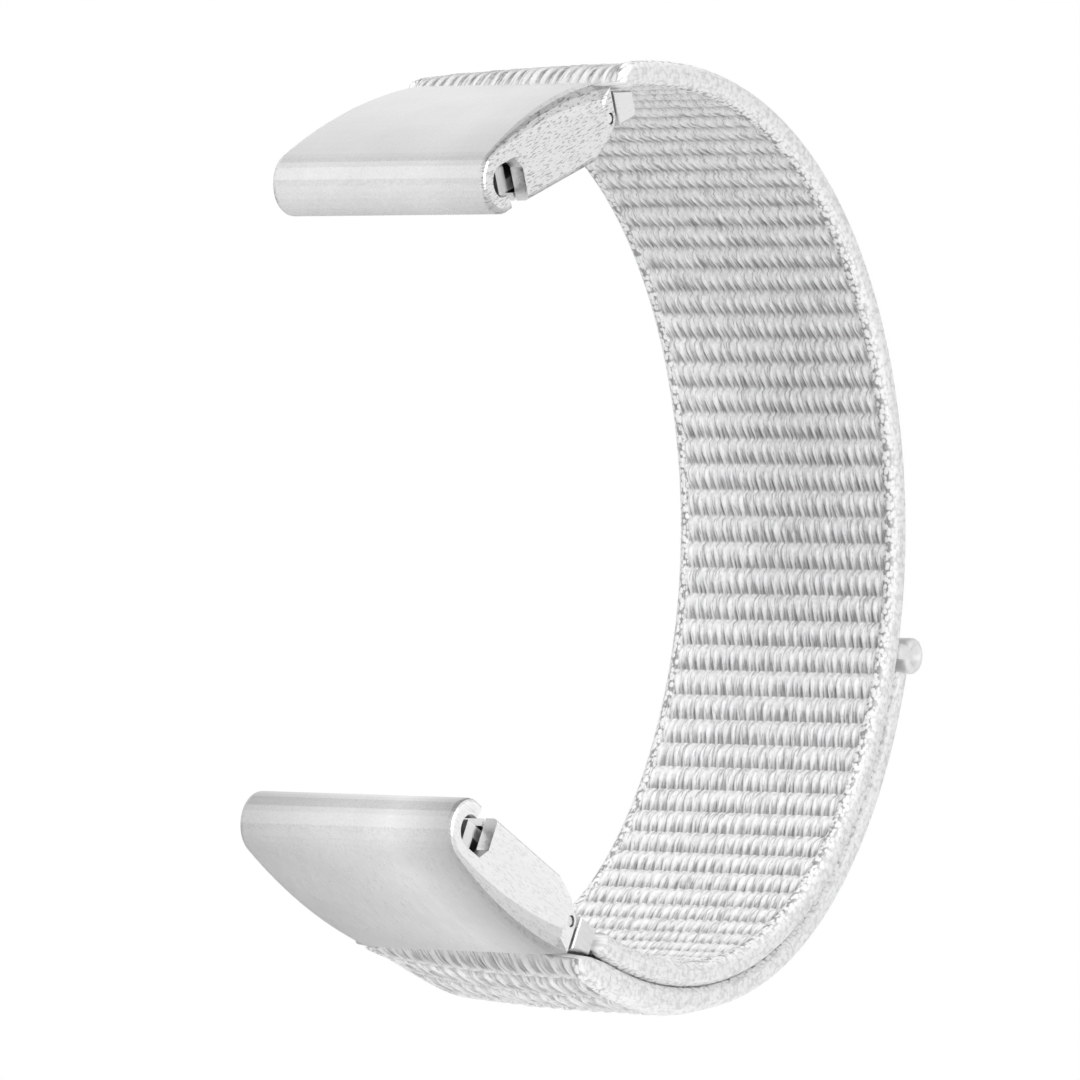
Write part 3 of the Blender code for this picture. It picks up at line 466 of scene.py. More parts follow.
def cloth_mesh(name, stations, places, faces, columns, tight, dent, seam_at_left):
    """Sweep the strip with its weave.

    faces are the looks of the left and the right face, columns their numbers of columns. tight
    is how far the left and the right face are drawn in at the far edge, for each station, and dent
    is the depth of the bed of the hook tape in the left face.
    """
    side_x, side_n, angle, flat_x, on_face = ring_points(*columns)
    cos, sin = np.cos(angle), np.sin(angle)
    thick = stations[:, 2][:, None]
    radius = thick * EDGE_ROUND_SHARE
    wide = stations[:, 3][:, None]
    inner_half = wide - radius
    x = np.where(on_face > 0, squeeze(flat_x[None, :], inner_half),
                 side_x * (inner_half + radius * cos * side_x))
    corner = radius * np.where(side_n > 0, SEAM_ROUND_SHARE, 1)
    n = side_n * (thick / 2 - corner) + corner * sin
    s = places[:, None] + 0 * x
    across = np.where(on_face > 0, flat_x, side_x * BAND_HALF) + 0 * x
    degrees = np.degrees(angle)
    turn = np.where(side_x > 0, (degrees - 270) % 360 / 180, 1 - (degrees - 90) / 180)
    turn = np.where(on_face > 0, 0, turn)
    bulge = radius * cos * side_x
    rounded = side_x * (FLAT_HALF + n + thick / 2 + np.where(side_n < 0, bulge, 2 * radius - bulge))
    edge = stitched(s, turn + 0 * x, rounded, seam_at_left)
    left, right = faces[0](across, s), faces[1](across, s)
    height, shade, run, specks = (
        np.where(on_face > 0, np.where(side_n > 0, on_left, on_right), on_edge)
        for on_left, on_right, on_edge in zip(left, right, edge))
    strength = np.clip((thick - FOLD_THICKNESS) / (TAIL_THICKNESS - FOLD_THICKNESS),
                       LEAST_RELIEF_SHARE, 1)
    height = height * strength
    n = n + height * sin
    x = x + height * cos
    far = ((BAND_HALF - across) / (2 * BAND_HALF)) ** FAR_POWER
    n = n - tight[0][:, None] * far * (n + thick / 2) / thick
    n = n + tight[1][:, None] * far * (thick / 2 - n) / thick
    bed = 1 - smooth_share((np.abs(across) - BAND_HALF + HOOK_MARGIN - BED_SIDE[0]) / BED_SIDE[1])
    n = n - dent[:, None] * bed * (on_face * side_n > 0)
    side = normals(stations)
    y = stations[:, 0][:, None] + side[:, 0][:, None] * n
    z = stations[:, 1][:, None] + side[:, 1][:, None] * n
    y, z = clear_of_ears(x, y, z, n / thick, wide, s)
    made = smooth_object(name, np.stack([x, y, z], -1).reshape(-1, 3), tube_faces(*x.shape))
    for layer_name, parts in (("place", (run, s, height / PIT_DEPTH)),
                              ("look", (shade, 1 - on_face + 0 * x, specks))):
        layer = made.data.attributes.new(layer_name, "FLOAT_VECTOR", "POINT")
        values = np.stack(parts, -1).reshape(-1).astype(np.float32)
        layer.data.foreach_set("vector", values)
    return made


def add_widths(stations, fold_until):
    """Add the half width of each station: narrow up to fold_until and between the ears."""
    wide = np.full(len(stations), BAND_HALF)
    wide[:fold_until] = FOLD_HALF
    side = normals(stations)
    reach = stations[:, 2] / 2
    for end in (1, -1):
        p, v = zip(*(to_connector(end, stations[:, 0] + way * side[:, 0] * reach,
                                  stations[:, 1] + way * side[:, 1] * reach) for way in (1, -1)))
        near = np.minimum(*p)
        high = np.maximum(*v)
        between = (near < POCKET_REAR) & (high < pocket_top(near) + LEAST_CLOTH)
        wide[between & (high > -LINK_DEPTH)] = FOLD_HALF
    return np.c_[stations[:, :3], wide]


# Materials

def nodes_of(name, colour, roughness, metallic):
    """A Principled material with its tree and shader."""
    made = bpy.data.materials.new(name)
    made.use_nodes = True
    tree = made.node_tree
    shader = tree.nodes["Principled BSDF"]
    shader.inputs["Base Color"].default_value = (*colour, 1)
    shader.inputs["Roughness"].default_value = roughness
    shader.inputs["Metallic"].default_value = metallic
    return made, tree, shader


def node(tree, kind, **settings):
    """Add a node and set its inputs by name and its properties."""
    made = tree.nodes.new("ShaderNode" + kind)
    for name, value in settings.items():
        if hasattr(made, name):
            setattr(made, name, value)
        else:
            made.inputs[name.replace("_", " ")].default_value = value
    return made


def ramp(tree, source, stops):
    """A colour ramp of grey or coloured stops."""
    made = tree.nodes.new("ShaderNodeValToRGB")
    while len(made.color_ramp.elements) < len(stops):
        made.color_ramp.elements.new(0.5)
    for element, (place, colour) in zip(made.color_ramp.elements, stops):
        element.position = place
        element.color = (*colour, 1) if isinstance(colour, tuple) else (colour,) * 3 + (1,)
    tree.links.new(source, made.inputs[0])
    return made.outputs[0]


def mixed(tree, kind, share, first, second):
    """Mix two colours, each a socket or a colour."""
    made = tree.nodes.new("ShaderNodeMix")
    made.data_type = "RGBA"
    made.blend_type = kind
    for socket, value in ((made.inputs[0], share), (made.inputs[6], first),
                          (made.inputs[7], second)):
        if hasattr(value, "is_linked"):
            tree.links.new(value, socket)
        else:
            socket.default_value = value
    return made.outputs[2]


def vector_part(tree, name, part):
    """One number of a vector attribute of the mesh."""
    read = node(tree, "Attribute", attribute_name=name)
    split = node(tree, "SeparateXYZ")
    tree.links.new(read.outputs["Vector"], split.inputs[0])
    return split.outputs[part]


def counted(tree, operation, first, second):
    """A Math node on two inputs, each a socket or a number."""
    made = node(tree, "Math", operation=operation)
    for socket, value in zip(made.inputs, (first, second)):
        if hasattr(value, "is_linked"):
            tree.links.new(value, socket)
        else:
            socket.default_value = value
    return made.outputs[0]


def cloth_material(name, tone, pit):
    """White nylon: filaments along the ribs, painted shade in pits, between the filaments and in
    dots at the creases, a soft sheen.
    """
    made, tree, shader = nodes_of(name, tone, 0.68, 0.0)
    shader.inputs["Sheen Weight"].default_value = 0.20
    shader.inputs["Sheen Roughness"].default_value = 0.5
    place = node(tree, "Attribute", attribute_name="place")
    stretch = node(tree, "Mapping", Scale=(6.2, 0.50, 0.0))
    tree.links.new(place.outputs["Vector"], stretch.inputs[0])
    fibre = node(tree, "TexNoise", Scale=1.0, Detail=2.5, Roughness=0.55)
    tree.links.new(stretch.outputs[0], fibre.inputs[0])
    grain = node(tree, "TexNoise", Scale=2.6, Detail=4.0, Roughness=0.75)
    tree.links.new(place.outputs["Vector"], grain.inputs[0])
    # Painted shade: the colour darkens towards the pits of the relief, as deep as they are
    deep = counted(tree, "ADD", vector_part(tree, "place", 2), 1.0)
    depth = ramp(tree, deep, ((0.0, pit), (0.36, 0.88), (0.72, 1.0)))
    # Dark lines along the ribs: a bump of the filaments, and painted shade between them
    lines = ramp(tree, fibre.outputs[0], ((0.36, 0.58), (0.46, 0.95), (0.56, 1.0)))
    edge = vector_part(tree, "look", 1)
    lines = mixed(tree, "MIX", counted(tree, "MULTIPLY", edge, 0.75), lines, (1, 1, 1, 1))
    speck = ramp(tree, grain.outputs[0], ((0.32, 0.84), (0.50, 0.98), (0.60, 1.0)))
    shade = mixed(tree, "MULTIPLY", 1.0, depth, lines)
    shade = mixed(tree, "MULTIPLY", 1.0, shade, speck)
    shade = mixed(tree, "MULTIPLY", 1.0, shade, vector_part(tree, "look", 0))
    # Dark dots on the edges and selvages: partly the cloth's own mottle, and where they gather at
    # creases and stitch holes, painted shade
    knots = node(tree, "TexVoronoi", Scale=2.3, Randomness=0.85)
    tree.links.new(place.outputs["Vector"], knots.inputs["Vector"])
    speck_amount = vector_part(tree, "look", 2)
    dots = ramp(tree, knots.outputs["Distance"], ((0.35, 1.0), (0.52, 0.95), (0.68, 0.32)))
    dots = mixed(tree, "MIX", speck_amount, (1, 1, 1, 1), dots)
    shade = mixed(tree, "MULTIPLY", 1.0, shade, dots)
    tree.links.new(mixed(tree, "MULTIPLY", 1.0, shade, (*tone, 1)), shader.inputs["Base Color"])
    rough = ramp(tree, grain.outputs[0], ((0.3, 0.78), (0.7, 0.60)))
    tree.links.new(rough, shader.inputs["Roughness"])
    bump = node(tree, "Bump", Strength=0.8, Distance=0.00006)
    tree.links.new(lines, bump.inputs["Height"])
    small = node(tree, "Bump", Strength=0.6, Distance=0.00004)
    tree.links.new(grain.outputs[0], small.inputs["Height"])
    tree.links.new(bump.outputs[0], small.inputs["Normal"])
    knot_bump = node(tree, "Bump", Distance=0.00007)
    tree.links.new(speck_amount, knot_bump.inputs["Strength"])
    tree.links.new(dots, knot_bump.inputs["Height"])
    tree.links.new(small.outputs[0], knot_bump.inputs["Normal"])
    tree.links.new(knot_bump.outputs[0], shader.inputs["Normal"])
    return made


def hook_material(name, tone):
    """Hook tape: stiff moulded nylon with a fine grid and a little colour variation."""
    made, tree, shader = nodes_of(name, tone, 0.5, 0.0)
    where = node(tree, "TexCoord")
    grid = node(tree, "TexVoronoi", Scale=1500.0)
    tree.links.new(where.outputs["Object"], grid.inputs["Vector"])
    cloud = node(tree, "TexNoise", Scale=420.0, Detail=3.0)
    tree.links.new(where.outputs["Object"], cloud.inputs["Vector"])
    dots = ramp(tree, grid.outputs["Distance"], ((0.0, 1.0), (0.55, 0.72)))
    tint = ramp(tree, cloud.outputs[0], ((0.3, 0.90), (0.7, 1.0)))
    shade = mixed(tree, "MULTIPLY", 1.0, dots, tint)
    tree.links.new(mixed(tree, "MULTIPLY", 1.0, shade, (*tone, 1)), shader.inputs["Base Color"])
    rough = ramp(tree, cloud.outputs[0], ((0.3, 0.42), (0.7, 0.62)))
    tree.links.new(rough, shader.inputs["Roughness"])
    bump = node(tree, "Bump", Strength=0.5, Distance=0.0001)
    tree.links.new(grid.outputs["Distance"], bump.inputs["Height"])
    tree.links.new(bump.outputs[0], shader.inputs["Normal"])
    return made


def gloss_material(name, tone):
    """Glossy soft plastic, with faint flow marks and fine handling scratches."""
    made, tree, shader = nodes_of(name, tone, 0.26, 0.0)
    shader.inputs["Coat Weight"].default_value = 0.15
    shader.inputs["Coat Roughness"].default_value = 0.12
    where = node(tree, "TexCoord")
    cloud = node(tree, "TexNoise", Scale=650.0, Detail=4.0, Roughness=0.6)
    tree.links.new(where.outputs["Object"], cloud.inputs["Vector"])
    tint = ramp(tree, cloud.outputs[0], ((0.30, 0.93), (0.65, 1.0)))
    tree.links.new(mixed(tree, "MULTIPLY", 1.0, tint, (*tone, 1)), shader.inputs["Base Color"])
    rough = ramp(tree, cloud.outputs[0], ((0.3, 0.34), (0.7, 0.20)))
    tree.links.new(rough, shader.inputs["Roughness"])
    long = node(tree, "Mapping", Scale=(400.0, 5200.0, 2600.0))
    tree.links.new(where.outputs["Object"], long.inputs[0])
    marks = node(tree, "TexNoise", Scale=1.0, Detail=3.0)
    tree.links.new(long.outputs[0], marks.inputs[0])
    bump = node(tree, "Bump", Strength=0.15, Distance=0.00002)
    tree.links.new(marks.outputs[0], bump.inputs["Height"])
    tree.links.new(bump.outputs[0], shader.inputs["Normal"])
    return made


def steel_material(name, end, low, high, roughness, grain=0.0, side=0.84, left=1.0, near=1.0):
    """Steel brushed along the connector of an end.

    low and high are its greys and grain its dark grain. side is a grey painted on the faces towards
    x, and left and near are the shares of the grey that the left and the near edge keep: painted
    light and shade. The rounds that turn towards x get a band of painted shade.
    """
    made, tree, shader = nodes_of(name, (high,) * 3, roughness, 1.0)
    where = node(tree, "TexCoord")
    turned = node(tree, "Mapping")
    turned.inputs["Rotation"].default_value = (-end * TILT, 0, 0)
    tree.links.new(where.outputs["Object"], turned.inputs[0])
    scaled = node(tree, "Mapping", Scale=(5200.0, 300.0, 5200.0))
    tree.links.new(turned.outputs[0], scaled.inputs[0])
    lines = node(tree, "TexNoise", Scale=1.0, Detail=5.0, Roughness=0.62)
    tree.links.new(scaled.outputs[0], lines.inputs[0])
    soft = node(tree, "TexNoise", Scale=170.0, Detail=2.0)
    tree.links.new(turned.outputs[0], soft.inputs[0])
    streaks = ramp(tree, lines.outputs[0], ((0.32, low), (0.50, (low + high) / 2), (0.68, high)))
    cloud = ramp(tree, soft.outputs[0], ((0.30, 0.93), (0.70, 1.0)))
    shade = mixed(tree, "MULTIPLY", 1.0, streaks, cloud)
    split = node(tree, "SeparateXYZ")
    tree.links.new(where.outputs["Object"], split.inputs[0])
    across = counted(tree, "MULTIPLY", split.outputs[0], 0.5 / (BAND_HALF * MM))
    across = counted(tree, "ADD", across, 0.5)
    # Painted shade on the left and the near edge
    painted_edge_shade = ramp(tree, across, ((0.0, left), (0.70, 1.0), (0.96, near)))
    shade = mixed(tree, "MULTIPLY", 1.0, shade, painted_edge_shade)
    dashes = node(tree, "Mapping", Scale=(2400.0, 1500.0, 8200.0))
    tree.links.new(turned.outputs[0], dashes.inputs[0])
    cuts = node(tree, "TexNoise", Scale=1.0, Detail=3.0, Roughness=0.6)
    tree.links.new(dashes.outputs[0], cuts.inputs[0])
    dark = ramp(tree, cuts.outputs[0], ((0.38, 1 - grain), (0.47, 1.0)))
    facing = node(tree, "SeparateXYZ")
    tree.links.new(where.outputs["Normal"], facing.inputs[0])
    sideways = counted(tree, "ABSOLUTE", facing.outputs[0], 0.0)
    # Painted light and shade: the faces towards x take the grey side
    painted_side_mask = ramp(tree, sideways, ((0.45, 0.0), (0.86, 1.0)))
    shade = mixed(tree, "MIX", painted_side_mask, shade, (side,) * 3 + (1,))
    # Painted shade: a dark band on the rounds that turn towards x
    corner = ramp(tree, sideways, ((0.05, 1.0), (0.35, 0.92), (0.78, 0.66), (0.86, 1.0)))
    shade = mixed(tree, "MULTIPLY", 1.0, shade, corner)
    amount = ramp(tree, sideways, ((0.05, 0.0), (0.40, 0.9), (0.80, 0.9), (0.90, 0.72)))
    dark = mixed(tree, "MIX", amount, (1, 1, 1, 1), dark)
    tree.links.new(mixed(tree, "MULTIPLY", 1.0, shade, dark), shader.inputs["Base Color"])
    rough = ramp(tree, lines.outputs[0], ((0.3, roughness - 0.06), (0.7, roughness + 0.10)))
    tree.links.new(rough, shader.inputs["Roughness"])
    bump = node(tree, "Bump", Strength=0.30, Distance=0.000012)
    tree.links.new(lines.outputs[0], bump.inputs["Height"])
    tree.links.new(bump.outputs[0], shader.inputs["Normal"])
    return made


def dress(node_name, material):
    """Give a CAD node its material."""
    shown = frame["nodes"][node_name]
    shown.data.materials.clear()
    shown.data.materials.append(material)


# The cloth pieces

def hem_and_folds():
    """The long strip from its hem to the root of the tail, as (y, z, thickness) rows.

    With it come the lengths from its start to the band and to the end of its narrow stretch.
    """
    line = band_line()
    backwards = line[::-1]
    hem_offset = -(BAND_THICKNESS / 2 + LAYER_GAP + HEM_THICKNESS / 2)
    hem = [(*beside(line, HEM_LENGTH, hem_offset)[0], HEM_THICKNESS)]
    upper = fold_knots(1, UPPER_FOLD_SHARES)
    lower = fold_knots(-1, LOWER_FOLD_SHARES)
    root_thickness = float(plain_tail(TAIL_ROOT))
    root_place = beside(backwards, TAIL_ROOT, -(tail_outer(TAIL_ROOT) - root_thickness / 2))[0]
    root = (*root_place, root_thickness)
    start = (*line[0], BAND_THICKNESS)
    finish = (*line[-1], BAND_THICKNESS)
    first = smooth_path(hem + upper + [start])
    middle = np.c_[line[:-1], np.full(len(line) - 1, BAND_THICKNESS)]
    last = smooth_path([finish] + lower + [root])
    path = np.vstack([first, middle, last, [root]])
    walked = lengths(path)
    narrow = np.interp(NARROW_SHARE * len(first), np.arange(len(path)), walked)
    return path, walked[len(first)], narrow


def drawn_in(amount, thickness):
    """How far a face may be drawn in without making the cloth too thin."""
    return np.clip(np.minimum(amount, thickness - LEAST_THICKNESS), 0, None)


def make_strap_cloth(material):
    """The strip from its hem to the tail's root. Return its length from the band's start."""
    path, start_at, narrow = hem_and_folds()
    stations, places = resample(path, start_at, STEP_ALONG)
    stations = add_widths(stations, int(np.sum(places < narrow - start_at)))
    line_length = lengths(band_line())[-1]
    most, reach = UPPER_TIGHT
    rising = smooth_share((places + UPPER_TIGHT_FROM[0]) / UPPER_TIGHT_FROM[1])
    upper = np.where(places > 0, 1 - smooth_share(places / reach), rising)
    fold_share = smooth_share((places - line_length - LOWER_TIGHT_FROM[0]) / LOWER_TIGHT_FROM[1])
    tight = (drawn_in(most * upper, stations[:, 2]),
             drawn_in(LOWER_TIGHT[0] * fold_share, stations[:, 2]))
    turned_at = line_length + TURNED_OUT
    fold_row_end = LONG["phase"] + LEAN_BACK_ROW * LONG["row"]

    def wrist_face(x, s):
        """Short floats inside the loop, long floats where the strip has turned outwards."""
        looks = zip(*(face_look(x, s, kind) for kind in (SHORT, FOLD_LONG, LONG)))
        return tuple(np.where(s < turned_at, short, np.where(s < fold_row_end, first, other))
                     for short, first, other in looks)

    def outer_face(x, s):
        """Long floats, with painted shade at the upper fold and plain round the back."""
        plain = smooth_share((s - UPPER_SHADE[0]) / UPPER_SHADE[1])
        faded = {part: UPPER_LONG[part] + (LONG[part] - UPPER_LONG[part]) * plain
                 for part in ("tone", "dim")}
        return face_look(x, s, dict(UPPER_LONG, **faded), SEAM_RISE)

    cloth = cloth_mesh("strap_cloth", stations, places, (outer_face, wrist_face),
                       (LONG_COLUMNS, SHORT_COLUMNS), tight, 0 * places, False)
    cloth.data.materials.append(material)
    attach(cloth, "strap")
    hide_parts("band_webbing")
    return lengths(path)[-1] - start_at


def make_tail(name, node_name, first, last, length_before, material):
    """A stretch of the tail from first to last, with its short weave towards the band."""
    backwards = band_line()[::-1]
    count = int(round((last - first) / STEP_ALONG))
    distance = np.linspace(first, last, count + 1)
    share = smooth_share((distance - HOOK_START + BED_LEAD) / BED_EASE)
    share = share * (1 - smooth_share((distance - HOOK_END - BED_TRAIL) / BED_EASE))
    thickness = plain_tail(distance)
    middle = beside(backwards, distance, -(tail_outer(distance) - thickness / 2))
    stations = np.c_[middle, thickness, np.full(len(distance), BAND_HALF)]
    places = distance - TAIL_ROOT + length_before
    most, reach = LOWER_TIGHT
    outer_tight = drawn_in(most * (1 - smooth_share(distance / reach)), thickness)
    cloth = cloth_mesh(name, stations, places,
                       (lambda x, s: face_look(x, s, SHORT, SEAM_RISE),
                        lambda x, s: face_look(x, s, LONG)),
                       (SHORT_COLUMNS // 2, LONG_COLUMNS), (0 * outer_tight, outer_tight),
                       share * (HOOK_THICKNESS + BED_SPARE), True)
    cloth.data.materials.append(material)
    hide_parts(node_name)
    return cloth


def make_hook_pad(material):
    """The hook tape: a thin strip with rows of small stiff hooks."""
    backwards = band_line()[::-1]
    offset = BAND_THICKNESS / 2 + LAYER_GAP + HOOK_THICKNESS / 2
    half = BAND_HALF - HOOK_MARGIN
    along = np.linspace(HOOK_START, HOOK_END, HOOK_GRID[0])
    across = np.linspace(-half, half, HOOK_GRID[1])
    middle = beside(backwards, along, -offset)
    side = normals(middle)
    s, x = np.meshgrid(along, across, indexing="ij")
    waves = np.cos(2 * math.pi * s / HOOK_PITCH) + np.cos(2 * math.pi * x / HOOK_PITCH)
    rise = HOOK_THICKNESS / 2 - HOOK_RISE * (1 - np.clip(waves - HOOK_LEVEL, 0, 1))
    top = middle[:, None, :] + side[:, None, :] * rise[..., None]
    under = middle[:, None, :] - side[:, None, :] * (HOOK_THICKNESS / 2) + 0 * top
    rows, count = x.shape
    points = [np.concatenate([x[..., None], layer], -1).reshape(-1, 3) for layer in (top, under)]
    i, j = np.meshgrid(np.arange(rows - 1), np.arange(count - 1), indexing="ij")
    a = (i * count + j).ravel()
    b, c, d = a + count, a + count + 1, a + 1
    more = rows * count
    faces = np.concatenate([np.stack([a, b, c, d], 1), np.stack([d, c, b, a], 1) + more])
    rim = list(range(count))
    rim += [k * count + count - 1 for k in range(1, rows)]
    rim += [(rows - 1) * count + k for k in reversed(range(count - 1))]
    rim += [k * count for k in reversed(range(1, rows - 1))]
    walls = [(rim[k], rim[(k + 1) % len(rim)], rim[(k + 1) % len(rim)] + more, rim[k] + more)
             for k in range(len(rim))]
    tape = smooth_object("hook_tape", np.vstack(points), faces.tolist() + walls)
    tape.data.materials.append(material)
    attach(tape, "tail_upper_body")
    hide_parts("hook_pad")


def make_tab(material):
    """The glossy bead at the tail's tip, with a finger scoop in each end."""
    backwards = band_line()[::-1]
    base = BAND_THICKNESS / 2 + LAYER_GAP
    half = TAB_HEIGHT / 2
    neck = TAB_NECK / 2
    meet = math.degrees(math.asin(neck / half))
    low = base + TAB_WEB_DEPTH - math.sqrt(half * half - neck * neck)
    outline = [(half + neck, base + (low - base) * share) for share in (0.0, 0.35, 0.7)]
    for turn in np.linspace(meet - 90, 270 - meet, 40):
        outline.append((half + half * math.cos(math.radians(turn)),
                        base + TAB_WEB_DEPTH + half * math.sin(math.radians(turn))))
    outline += [(half - neck, base + (low - base) * share) for share in (0.7, 0.35, 0.0)]
    outline = np.array(outline)
    hub = np.array([half, base + TAB_WEB_DEPTH])
    rings = [(BAND_HALF - 2 * TAB_ROUND, 0.0), (BAND_HALF - (TAB_ROUND + TAB_ROUND_LEAD), 0.0)]
    rings += [(BAND_HALF - TAB_ROUND + TAB_ROUND * math.sin(t), SCOOP_RIM_SHARE * (1 - math.cos(t)))
              for t in np.radians([15, 30, 45, 60, 75, 90])]
    rings += [(BAND_HALF - SCOOP_DEPTH * smooth_share(1.3 * t),
               SCOOP_RIM_SHARE + SCOOP_FLOOR_SHARE * t)
              for t in np.linspace(0.1, 1, 9)]
    spoke = outline - hub
    length = np.hypot(*spoke.T)[:, None]
    points = []
    spans = list(np.linspace(-rings[0][0], rings[0][0], 24)[1:-1])
    stack = [(-x, inward) for x, inward in reversed(rings)]
    stack += [(x, 0.0) for x in spans] + rings
    for x, inward in stack:
        round_share = smooth_share(inward / SCOOP_RIM_SHARE)
        reach = length * (1 - round_share) + half * round_share
        ring = hub + spoke / length * reach * (1 - inward)
        place = beside(backwards, TAIL_END + TAB_GAP + ring[:, 0], -ring[:, 1])
        points.append(np.c_[np.full(len(outline), x), place])
    tab = smooth_object("tab_bead", np.vstack(points), tube_faces(len(stack), len(outline), True))
    tab.data.materials.append(material)
    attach(tab, "tail_upper_body")
    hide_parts("pull_tab")


def spring_part(node_name, name, still, way):
    """The stretch of a CAD spring that is squeezed towards its still end, and its length."""
    coil = bmesh.new()
    coil.from_mesh(bpy.data.objects[node_name].data)
    bmesh.ops.bisect_plane(coil, geom=coil.verts[:] + coil.edges[:] + coil.faces[:],
                           plane_co=still, plane_no=way, clear_outer=True)
    bmesh.ops.holes_fill(coil, edges=[edge for edge in coil.edges if edge.is_boundary])
    length = max(-(corner.co - still).dot(way) for corner in coil.verts)
    mesh = bpy.data.meshes.new(name)
    coil.to_mesh(mesh)
    coil.free()
    mesh.shade_smooth()
    return add_object(name, mesh), length


def make_springs(end_name, material):
    """The coil springs of an end, each cut at its still end and carried by its joint's parent body.

    A spring between two tips is drawn as two halves, from its still middle outwards.
    """
    for joint in frame["record"]["behaviour"]["joints"]:
        if not joint["name"].startswith(end_name):
            continue
        for entry in joint.get("deforming_nodes", []):
            node_name = entry["node"]
            name = node_name.replace("spring", "coil")
            if "tip" in joint["name"]:
                name += "_left" if "left" in joint["name"] else "_right"
            still, way = Vector(entry["fixed_end_m"]), Vector(joint["axis"]).normalized()
            made, length = spring_part(node_name, name, still, way)
            made.data.materials.append(material)
            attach(made, joint["parent"])
            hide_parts(node_name)
            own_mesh(made)


def tail_point(distance):
    """The place of the tail's middle at a distance, in metres."""
    y, z = beside(band_line()[::-1], distance, -(tail_outer(distance) - TAIL_THICKNESS / 2))[0]
    return (0, y * MM, z * MM)


# The soft pieces
cloth = cloth_material("woven_nylon", (0.93, 0.93, 0.935), 0.45)
length_before = make_strap_cloth(cloth)
lower_cloth = make_tail("tail_cloth_lower", "tail_lower", TAIL_ROOT + ROOT_SEAM,
                        TAIL_BREAK + BREAK_SEAM[0], length_before, cloth)
upper_cloth = make_tail("tail_cloth_upper", "tail_upper", TAIL_BREAK + BREAK_SEAM[1], TAIL_END,
                        length_before, cloth)

# Places on the tail's middle over the first 8 mm past its root and the first 5 mm past its middle
# hinge are worked out here but not used
tail_point(TAIL_ROOT + 0.4)
tail_point(TAIL_ROOT + 8.0)
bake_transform(lower_cloth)
tail_point(TAIL_BREAK + 0.3)
tail_point(TAIL_BREAK + 5.2)
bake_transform(upper_cloth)
make_hook_pad(hook_material("hook_nylon", (0.80, 0.80, 0.81)))
make_tab(gloss_material("gloss_tab", (0.80, 0.80, 0.805)))

# The metal
# Both plates are the same steel: their different greys and side greys and their left and near
# shares are painted light and shade
PLATES = (("upper", 1, dict(low=0.82, high=0.92, grain=0.62, side=0.80, left=1.0, near=0.90)),
          ("lower", -1, dict(low=0.89, high=0.99, grain=0.20, side=0.97, left=0.65, near=0.63)))
LINK = dict(low=0.76, high=0.86, roughness=0.28, grain=0.06, side=0.80)
SMALL = dict(low=0.66, high=0.80, roughness=0.24)
DARK = dict(low=0.36, high=0.50, roughness=0.32)
for end_name, end, looks in PLATES:
    plate = steel_material(end_name + "_plate_steel", end, roughness=0.30, **looks)
    link = steel_material(end_name + "_link_steel", end, **LINK)
    small = steel_material(end_name + "_bar_steel", end, **SMALL)
    dark = steel_material(end_name + "_spring_steel", end, **DARK)
    dress(end_name + "_shell", plate)
    dress(end_name + "_end_link", link)
    dress(end_name + "_latch_cover", link)
    for suffix in ("_bar_tube", "_bar_tip_left", "_bar_tip_right"):
        dress(end_name + suffix, small)
    for suffix in ("_latch_slide", "_cover_screw_left", "_cover_screw_right"):
        dress(end_name + suffix, dark)
    make_springs(end_name, dark)

# Camera, at the photograph's view. FOCAL_SHARE is the focal length over the picture's width
AZIMUTH = math.radians(34.552)
ELEVATION = math.radians(-2.982)
ROLL = math.radians(2.834)
TARGET = Vector((5.477, -14.0, -1.725)) * MM
DISTANCE = 751.66 * MM
FOCAL_SHARE = 9417.5 / 1080
SENSOR_WIDTH = 36.0
ahead = Vector((-math.sin(AZIMUTH) * math.cos(ELEVATION),
                math.cos(AZIMUTH) * math.cos(ELEVATION), -math.sin(ELEVATION)))
right = Vector((math.cos(AZIMUTH), math.sin(AZIMUTH), 0))
up = right.cross(ahead)
rolled_right = right * math.cos(ROLL) + up * math.sin(ROLL)
rolled_up = up * math.cos(ROLL) - right * math.sin(ROLL)
lens = bpy.data.cameras.new("camera")
lens.sensor_width = SENSOR_WIDTH
lens.lens = SENSOR_WIDTH * FOCAL_SHARE
lens.clip_start = 0.05
lens.clip_end = 20.0
camera = add_object("camera", lens)
turn = Matrix((rolled_right, rolled_up, -ahead)).transposed().to_4x4()
camera.matrix_world = Matrix.Translation(TARGET - ahead * DISTANCE) @ turn
bpy.context.scene.camera = camera

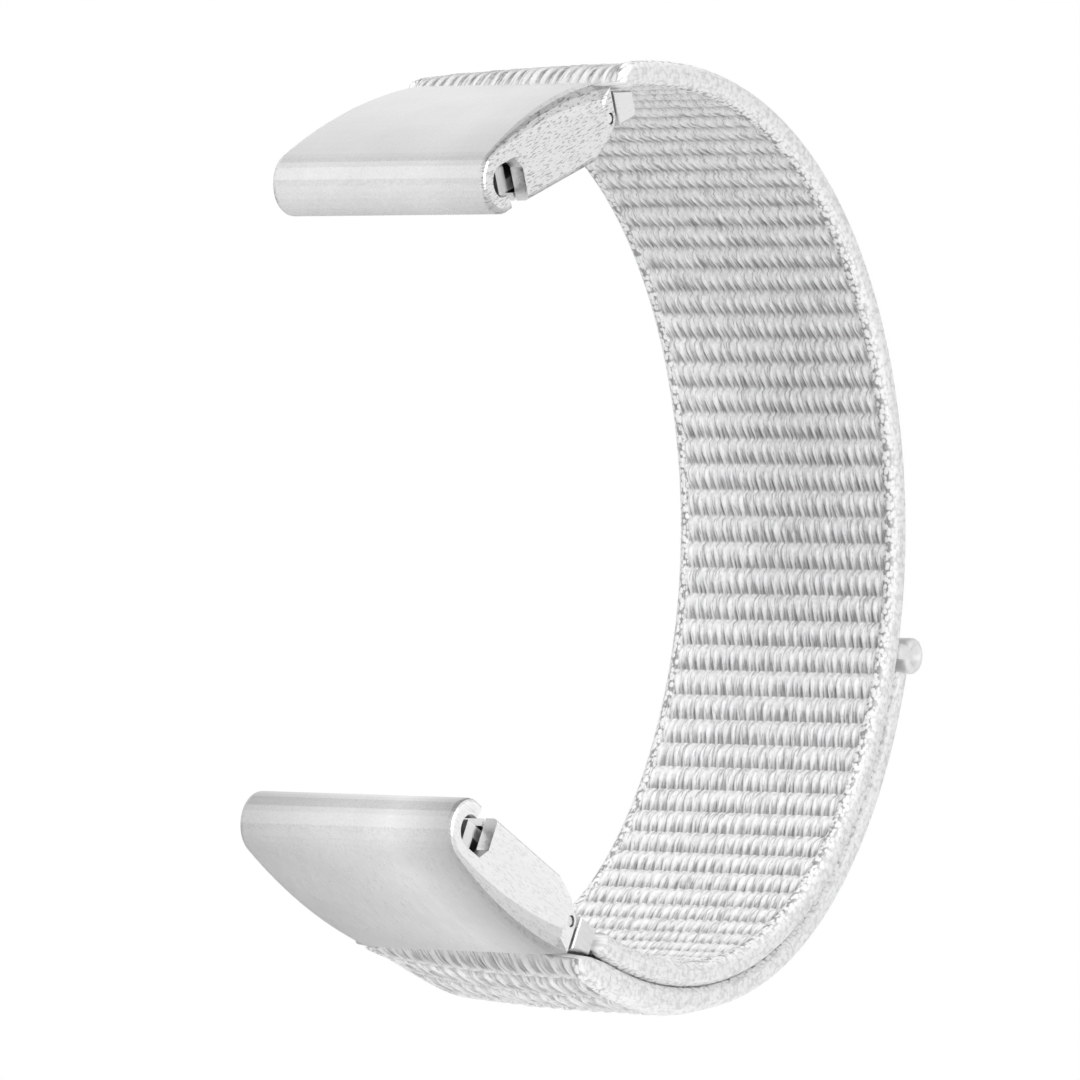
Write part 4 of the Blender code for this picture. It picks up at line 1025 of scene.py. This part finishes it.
# Floor, in metres
FLOOR_HALF = 1.1
FLOOR_HEIGHT = -0.105
floor_mesh = bpy.data.meshes.new("floor")
floor_mesh.from_pydata([(x * FLOOR_HALF, y * FLOOR_HALF, FLOOR_HEIGHT)
                        for x, y in ((-1, -1), (1, -1), (1, 1), (-1, 1))], [], [(0, 1, 2, 3)])
floor = add_object("floor", floor_mesh)
floor_paint, floor_tree, floor_shader = nodes_of("floor_paint", (0.86, 0.86, 0.86), 0.9, 0.0)
floor_where = node(floor_tree, "TexCoord")
floor_cloud = node(floor_tree, "TexNoise", Scale=9.0, Detail=3.0)
floor_tree.links.new(floor_where.outputs["Object"], floor_cloud.inputs["Vector"])
floor_tree.links.new(ramp(floor_tree, floor_cloud.outputs[0], ((0.3, 0.85), (0.7, 0.87))),
                     floor_shader.inputs["Base Color"])
floor_mesh.materials.append(floor_paint)

# World: white to the camera, white at the horizon and greyer overhead in reflections, and plain
# soft light otherwise
WORLD_LIGHT = 0.17
world = bpy.data.worlds.new("studio")
bpy.context.scene.world = world
world.use_nodes = True
tree = world.node_tree
tree.nodes.clear()
ray = tree.nodes.new("ShaderNodeLightPath")
sky = node(tree, "TexCoord")
height = node(tree, "SeparateXYZ")
tree.links.new(sky.outputs["Generated"], height.inputs[0])
overhead = ramp(tree, height.outputs[2], ((0.66, 1.0), (0.94, 0.50)))
reflected = counted(tree, "MULTIPLY", ray.outputs["Is Glossy Ray"], overhead)
white = counted(tree, "MAXIMUM", ray.outputs["Is Camera Ray"], ray.outputs["Is Transmission Ray"])
shown = counted(tree, "MAXIMUM", white, reflected)
strength = counted(tree, "MAXIMUM", shown, WORLD_LIGHT)
background = tree.nodes.new("ShaderNodeBackground")
tree.links.new(strength, background.inputs["Strength"])
background.inputs["Color"].default_value = (1, 1, 1, 1)
out = tree.nodes.new("ShaderNodeOutputWorld")
tree.links.new(background.outputs[0], out.inputs[0])


def area_lamp(name, place, size, power):
    """A square soft lamp aimed at the strap, in metres and watts."""
    data = bpy.data.lights.new(name, "AREA")
    data.size = size
    data.energy = power
    lamp = add_object(name, data)
    lamp.location = place
    lamp.rotation_euler = (-Vector(place)).to_track_quat("-Z", "Y").to_euler()
    return lamp


# Only the side lamp shows in the steel. The one below adds to the light that the floor sends up
key = area_lamp("key", (-0.08, -0.60, 0.51), size=0.50, power=5.7)
key.visible_glossy = False
area_lamp("side", (0.74, -0.30, 0.22), size=0.55, power=3.6)
below = area_lamp("below", (0.0, 0.0, FLOOR_HEIGHT + 0.001), size=0.18, power=0.034)
back = area_lamp("back", (-0.15, 0.70, 0.12), size=0.50, power=2.1)
for lamp in (below, back):
    lamp.visible_camera = False
    lamp.visible_glossy = False

bpy.context.scene.view_settings.view_transform = "Standard"
